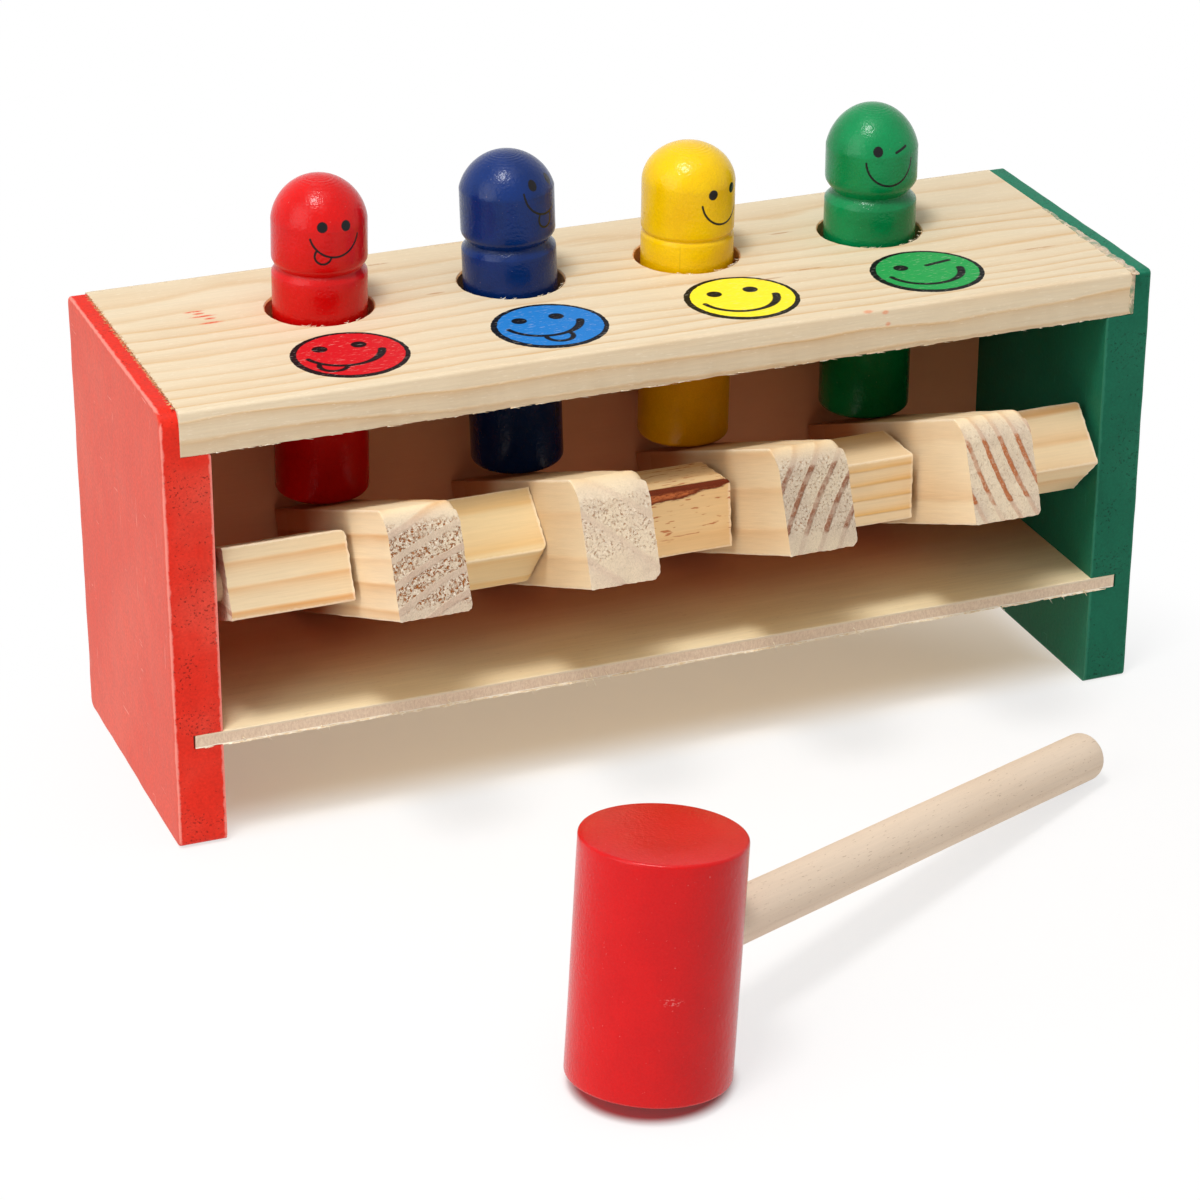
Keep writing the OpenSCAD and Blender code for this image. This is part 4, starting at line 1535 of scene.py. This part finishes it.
def lacquer(name, place, colour, deep, seed, face=None, scuff=None):
    """Gloss lacquer; face holds the print's values, or nothing for a bare piece."""
    material, graph, here = new_material(name, place)
    skin = graph.place(skin_group, {"Vector": here, "Seed": seed,
                                    "Top": face["top"] if face else 1.0})
    tone = graph.mix(graph.smooth(skin["Cloud"], 0.2, 0.7), deep, colour)
    tone = graph.vary(tone, graph.noise(here, 2300), 0.88, 1.12)
    tone = graph.cover(tone, deep, skin["Grit"], 0.35)
    tone = graph.cover(tone, speck_pale, skin["Dust"], 0.1)
    if face:
        x, y, z = graph.split(here)
        around = graph.maths("ARCTAN2", x, graph.times(y, -1.0))
        across = graph.times(around, peg_radius / peg_mouth_radius)
        upward = graph.maths("DIVIDE", graph.less(z, face["height"]), peg_mouth_radius)
        line = graph.place(face_group, {"Vector": graph.join(across, upward, 0.0), "Stroke": 0.042,
                                        "Swell": 0.0, **face["drawing"]})["Line"]
        # Painted shade: the lower part of a peg turns darker and warmer, for the warm shade inside
        # the bench.
        tone = graph.mix(graph.fall(z, 0.020, 0.036), tone, foot_shade, "MULTIPLY")
        tone = graph.mix(line, tone, print_black)
        off_crack = graph.less(graph.times(around, peg_radius), face["crack"])
        off_crack = graph.maths("ABSOLUTE", off_crack)
        off_crack = graph.maths("MULTIPLY_ADD", skin["Cloud"], 0.0004, off_crack)
        crack = graph.fall(off_crack, 0.2 * MM, 0.5 * MM)
        crack = graph.times(crack, graph.fall(z, face["neck"] - 2 * MM, face["neck"]),
                            graph.smooth(z, 36 * MM, 40 * MM))
        tone = graph.vary(tone, crack, 1.0, 0.8)
    if scuff:
        offset = graph.vectors("MULTIPLY", graph.vectors("SUBTRACT", here, scuff), (1, 1, 2.6))
        rub = graph.fall(graph.vectors("LENGTH", offset), 0.001, 0.0034)
        flakes = graph.patches(here, (1500, 1500, 2200), 0.5, 0.66, 2.0, 0.6)
        tone = graph.cover(tone, rubbed_pale, rub, flakes, 0.35)
    roughness = graph.spread(skin["Cloud"], 0.17, 0.26)
    return coat(material, graph, tone, roughness, lacquer_gloss, skin["Peel"], 0.9, 0.1 * MM)


# %% [markdown]
# A peg is turned from a dowel: a rounded foot, a straight body, a narrow neck groove and a
# domed head. Where the dome meets the side, the lathe tool left a faint shoulder. The peg
# leans a little in its loose hole, so its mesh is turned about the middle of the board.

# %% Pegs: shape and prints
peg_length = 83 * MM
short_cut = 4 * MM
neck_drop = 22.8 * MM
peg_mouth_radius = 6.65 * MM
foot_round = 1.5 * MM
peg_rest_gap = 0.3 * MM
peg_leans = {"red": 1.0, "blue": -1.9, "yellow": 0.6, "green": 0.0}
peg_cuts = {
    "red": {"dome": 0.90, "corner": 8, "depth": 1.15, "above": 2.0, "below": 1.6},
    "blue": {"dome": 0.76, "corner": 16, "depth": 1.7, "above": 2.5, "below": 1.9},
    "yellow": {"dome": 0.80, "corner": 4, "depth": 0.6, "above": 1.0, "below": 0.9},
    "green": {"dome": 0.90, "corner": 14, "depth": 2.1, "above": 3.2, "below": 2.2},
}
peg_faces = {
    "red": {"turn": 2.4, "drop": 10.6,
            "drawing": smile((-0.51, 0.17), (0.43, 0.14), -0.28, (-0.49, -0.93), 0.31)},
    "blue": {"turn": 34.2, "drop": 7.45,
             "drawing": smile((-0.53, 0.18), (0.54, 0.17), -0.05, (-0.07, -1.18), 0.34)},
    "yellow": {"turn": 26.6, "drop": 12.1, "drawing": smile((-0.55, 0.25), (0.50, 0.31), -0.15)},
    "green": {"turn": 0.0, "drop": 11.7,
              "drawing": smile((-0.55, 0.39), (0.21, 0.30), -0.06, wink_end=(0.73, 0.47),
                               eye_size=0.05)},
}
peg_inks = {
    "red": (ink(214, 10, 8), ink(196, 4, 4)),
    "blue": (ink(4, 42, 106), ink(0, 32, 86)),
    "yellow": (ink(242, 198, 0), ink(230, 178, 0)),
    "green": (ink(2, 136, 76), ink(0, 114, 60)),
}
cracks = {"yellow": -12.07 * MM}
foot_shade = ink(232, 196, 168)
foot_y = pivots["red"].y + 43.9 * MM - peg_radius + foot_round
arm_top = (pivots["red"].z + (foot_y - pivots["red"].y) * math.tan(rocker_tilt)
           + block_height / 2 / math.cos(rocker_tilt))
peg_foot_z = arm_top + (foot_round + peg_rest_gap) / math.cos(rocker_tilt) - foot_round
board_middle_z = (board_low.z + board_high.z) / 2


def dome_arc(length, height, corner, count=26):
    """Outline of the head's dome; it meets the side at a small angle and ends flat on top."""
    start = math.radians(corner)
    points = []
    for i in range(count + 1):
        angle = start + (math.pi / 2 - start) * i / count
        rise = (math.sin(angle) - math.sin(start)) / (1 - math.sin(start))
        points.append((peg_radius * math.cos(angle) / math.cos(start),
                       length - height + height * rise))
    return points


def peg_shape(length, cuts, seed):
    neck_z = length - neck_drop
    dome_height = cuts["dome"] * peg_radius
    depth, above, below = cuts["depth"] * MM, cuts["above"] * MM, cuts["below"] * MM
    slim = peg_radius - depth
    body_end = neck_z - below - 0.4 * MM
    head_start = neck_z + 1.1 * above
    head_end = length - dome_height - 0.3 * MM
    outline = [(0, 0), *arc((peg_radius - foot_round, foot_round), foot_round, -90, 0, 5)]
    outline += [(peg_radius, height) for height in steps(foot_round, body_end, 3 * MM)]
    outline += [(peg_radius, body_end), (peg_radius - 0.1 * MM, neck_z - below),
                (slim + 0.12 * MM, neck_z - 0.25 * MM), (slim, neck_z - 0.1 * MM),
                (slim, neck_z + 0.1 * MM), (slim + 0.1 * MM, neck_z + 0.25 * MM),
                (peg_radius - 0.35 * depth, neck_z + 0.55 * above),
                (peg_radius - 0.08 * depth, neck_z + 0.85 * above), (peg_radius, head_start)]
    outline += [(peg_radius, height) for height in steps(head_start, head_end, 1.4 * MM)]
    outline += [(peg_radius, head_end)]
    outline += dome_arc(length, dome_height, cuts["corner"])[:-1] + [(0, length)]
    bm = turn(outline, 96)

    def uneven(point):
        return 0.06 * MM * drift(point, 70, seed) + 0.02 * MM * drift(point, 260, seed + 1)

    push_outwards(bm, uneven, lambda reach, point: reach > TINY and point.z > 0.1 * MM)
    return bm


for number, colour in enumerate(COLOURS):
    length = peg_length - (short_cut if colour == "yellow" else 0)
    peg_place = (Matrix.Translation((hole_x[colour], hole_y + bench_y, board_middle_z))
                 @ Matrix.Rotation(math.radians(peg_leans[colour]), 4, "Y")
                 @ Matrix.Translation((0, 0, peg_foot_z - board_middle_z)))
    face = peg_faces[colour]
    face_values = {"height": length - face["drop"] * MM, "top": length, "neck": length - neck_drop,
                   "crack": cracks.get(colour, 1.0), "drawing": face["drawing"]}
    face_place = peg_place @ Matrix.Rotation(math.radians(face["turn"]), 4, "Z")
    peg_name = "peg_" + colour
    paint = lacquer(peg_name + "_lacquer", face_place, *peg_inks[colour], 1.0 + number, face_values)
    make_piece(peg_name + "_lacquered", peg_shape(length, peg_cuts[colour], 90 + number), peg_name,
               paint, [peg_name], (0, 0, 1), peg_place)

# %% [markdown]
# The mallet's head is a turned cylinder with eased edges and a blind hole for its handle. It
# stands on the rim of one face while the end of the handle rests on the table, so both lean.
# Its slope follows from those two touching points.

# %% Mallet
head_low, head_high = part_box("mallet_head")
head_radius = 18.7 * MM
head_length = 56.6 * MM
head_edge = 0.8 * MM
handle_radius = 6.2 * MM
handle_length = 184 * MM
handle_seat = 24 * MM
handle_start = head_radius - handle_seat
mallet_heading = math.radians(29.9)
mallet_roll = math.radians(2.3)
mallet_slope = math.atan2(head_length / 2 - handle_radius,
                          handle_start + handle_length - head_radius)
mallet_place = (middle_of(head_low, head_high) @ Matrix.Rotation(mallet_heading, 4, "Z")
                @ Matrix.Rotation(mallet_slope, 4, "Y") @ Matrix.Rotation(-mallet_roll, 4, "X"))
handle_place = (mallet_place @ Matrix.Rotation(math.pi / 2, 4, "Y")
                @ Matrix.Translation((0, 0, handle_start)))


def mallet_head_shape():
    half = head_length / 2
    inset = head_radius - head_edge
    outline = [(0, -half), (head_radius * 0.5, -half)]
    outline += arc((inset, head_edge - half), head_edge, -90, 0, 4)
    stations = steps(head_edge - half, half - head_edge, 2.5 * MM)
    outline += [(head_radius, height) for height in stations]
    outline += arc((inset, half - head_edge), head_edge, 0, 90, 4)
    outline += [(head_radius * 0.5, half), (0, half)]
    bm = turn(outline, 128)
    roughen(bm, 0.08 * MM, 55, 101)
    seat = rod(handle_radius, handle_seat + 2 * MM, 0.3 * MM, 102)
    lay_along_x(seat)
    shift(seat, (handle_start, 0, 0))
    return carve(bm, seat)


mallet_scuff = (-12.5 * MM, -14.0 * MM, -3.1 * MM)
mallet_paint = lacquer("mallet_red_lacquer", mallet_place, ink(210, 8, 10), ink(200, 6, 10), 9.0,
                       scuff=mallet_scuff)
handle_wood = beech("beech_handle", handle_place, ink(234, 213, 190), ink(219, 193, 166), 7.0, 0.5)
make_piece("mallet_head_lacquered", mallet_head_shape(), "mallet",
           mallet_paint, ["mallet_head"], (0, 0, 1), mallet_place)
make_piece("mallet_handle_beech", rod(handle_radius, handle_length, 1.6 * MM, 103), "mallet",
           handle_wood, ["mallet_handle"], (0, 0, 1), handle_place)

# %% [markdown]
# Milky glue squeezed out of the right joint and dried in beads, on the board's end and down
# its front corner. On the left, a brown fringe of torn fibre stands in the joint. The drill
# left pale fibres on the rims of the holes, and the saw left them along the lower front edges
# of the top board and the floor board.

# %% Glue beads and torn fibres
glue_green = ink(128, 140, 106)
glue_tan = ink(206, 180, 150)
glue_pale = ink(226, 206, 178)


def glue_material():
    material, graph, here = new_material("dried_glue")
    cloud = graph.noise(here, 260, 3.0, 0.6)
    drop = graph.patches(here, 700, 0.48, 0.64)
    film = graph.mix(graph.smooth(cloud, 0.42, 0.64), glue_green, glue_tan)
    tone = graph.cover(film, glue_pale, drop, 0.4)
    height = graph.maths("ADD", cloud, drop)
    return coat(material, graph, tone, graph.spread(cloud, 0.15, 0.35), 0.5, height, 0.7, 0.2 * MM)


def fibre_material(name, pale, dark):
    material, graph, here = new_material(name)
    strand = graph.noise(here, (700, 900, 900), 3.0, 0.6)
    tone = graph.mix(graph.smooth(strand, 0.35, 0.65), dark, pale)
    return coat(material, graph, tone, graph.spread(strand, 0.6, 0.85), 0.5, strand, 0.4, 0.05 * MM)


def bead(length, width, height, seed):
    """A rounded lump, flattened and uneven."""
    bm = bmesh.new()
    bmesh.ops.create_icosphere(bm, subdivisions=3, radius=1)
    for vert in bm.verts:
        vert.co *= 1 + 0.3 * drift(vert.co, 1.6, seed)
    bmesh.ops.scale(bm, vec=(width, length, height), verts=bm.verts)
    return bm


beads_on_top, beads_at_corner = 30, 8
first_bead, bead_pitch = 8, 1.68


def glue_shape():
    """Beads along the right joint, thin at the back and thick at the front, and down the corner."""
    bm = bmesh.new()
    for number in range(beads_on_top):
        y = first_bead - bead_pitch * number + rng.uniform(-0.7, 0.7)
        width = (0.35 + 0.75 * min(1, number / 16)) * rng.uniform(0.6, 1.35)
        spot = Vector((board_high.x + rng.uniform(-0.45, 0.1) * MM, y * MM + bench_y,
                       board_high.z - 0.05 * MM))
        lump = bead(rng.uniform(1.2, 3.0) * MM, width * MM, rng.uniform(0.14, 0.34) * MM, number)
        join_shape(bm, lump, Matrix.Translation(spot))
    for number in range(beads_at_corner):
        spot = Vector((board_high.x + rng.uniform(-0.75, -0.45) * MM, left_low.y + 0.1 * MM,
                       board_high.z - (0.7 + 1.3 * number) * MM))
        lump = bead(0.3 * MM, rng.uniform(0.5, 0.75) * MM, rng.uniform(1.1, 1.8) * MM, 40 + number)
        join_shape(bm, lump, Matrix.Translation(spot))
    return bm


def strew(bm, count, spot, lengths, thickness, droop, yaw):
    """Adds torn fibres to a mesh; spot gives a random place, the other pairs are ranges."""
    for _ in range(count):
        place = spot()
        bend = Euler((0, math.radians(rng.uniform(*droop)), math.radians(rng.uniform(*yaw))))
        join_shape(bm, sliver(rng.uniform(*lengths) * MM, rng.uniform(*thickness) * MM),
                   Matrix.Translation(place) @ bend.to_matrix().to_4x4())


def fringe_shape():
    bm = bmesh.new()

    def in_joint():
        return Vector((board_low.x + rng.uniform(-0.75, 0.15) * MM,
                       bench_y + rng.uniform(-0.47, 0.46) * bench_depth, board_high.z + 0.03 * MM))

    strew(bm, 420, in_joint, (0.4, 1.5), (0.05, 0.14), (-20, 6), (-80, 80))
    return bm


def rim_shape():
    bm = bmesh.new()
    for place in hole_x.values():

        def on_rim():
            angle = math.radians(rng.choice([rng.uniform(-125, -100), rng.uniform(-80, -25)]))
            return Vector((place + hole_radius * math.cos(angle),
                           hole_y + bench_y + hole_radius * math.sin(angle),
                           board_high.z + 0.03 * MM))

        strew(bm, 16, on_rim, (0.6, 2.0), (0.04, 0.11), (-14, 4), (-60, 60))

    def lower_edge():
        return Vector((rng.uniform(board_low.x + 4 * MM, board_high.x - 4 * MM),
                       board_low.y + 0.15 * MM, board_low.z + rng.uniform(-0.05, 0.15) * MM))

    def floor_edge():
        return Vector((rng.uniform(floor_low.x + 3 * MM, floor_high.x - 3 * MM),
                       floor_low.y + rng.uniform(-0.15, 0.05) * MM,
                       floor_low.z + rng.uniform(-0.12, 0.1) * MM))

    strew(bm, 120, lower_edge, (0.8, 3.4), (0.05, 0.16), (-4, 14), (-10, 10))
    strew(bm, 230, floor_edge, (1.5, 6.0), (0.10, 0.24), (-5, 6), (-6, 6))
    strew(bm, 26, floor_edge, (2.0, 4.4), (0.12, 0.20), (18, 80), (-30, 30))
    return bm


pale_fibre = fibre_material("pale_fibre", ink(252, 242, 222), ink(232, 208, 168))
brown_fibre = fibre_material("brown_fibre", ink(226, 176, 124), ink(170, 106, 66))
make_piece("joint_glue", glue_shape(), "bench", glue_material())
make_piece("joint_fringe", fringe_shape(), "bench", brown_fibre)
make_piece("rim_fibres", rim_shape(), "bench", pale_fibre)

# %% [markdown]
# Last, the script prints how many pieces it made.

# %% End
print("pieces made:", len(pieces_made))
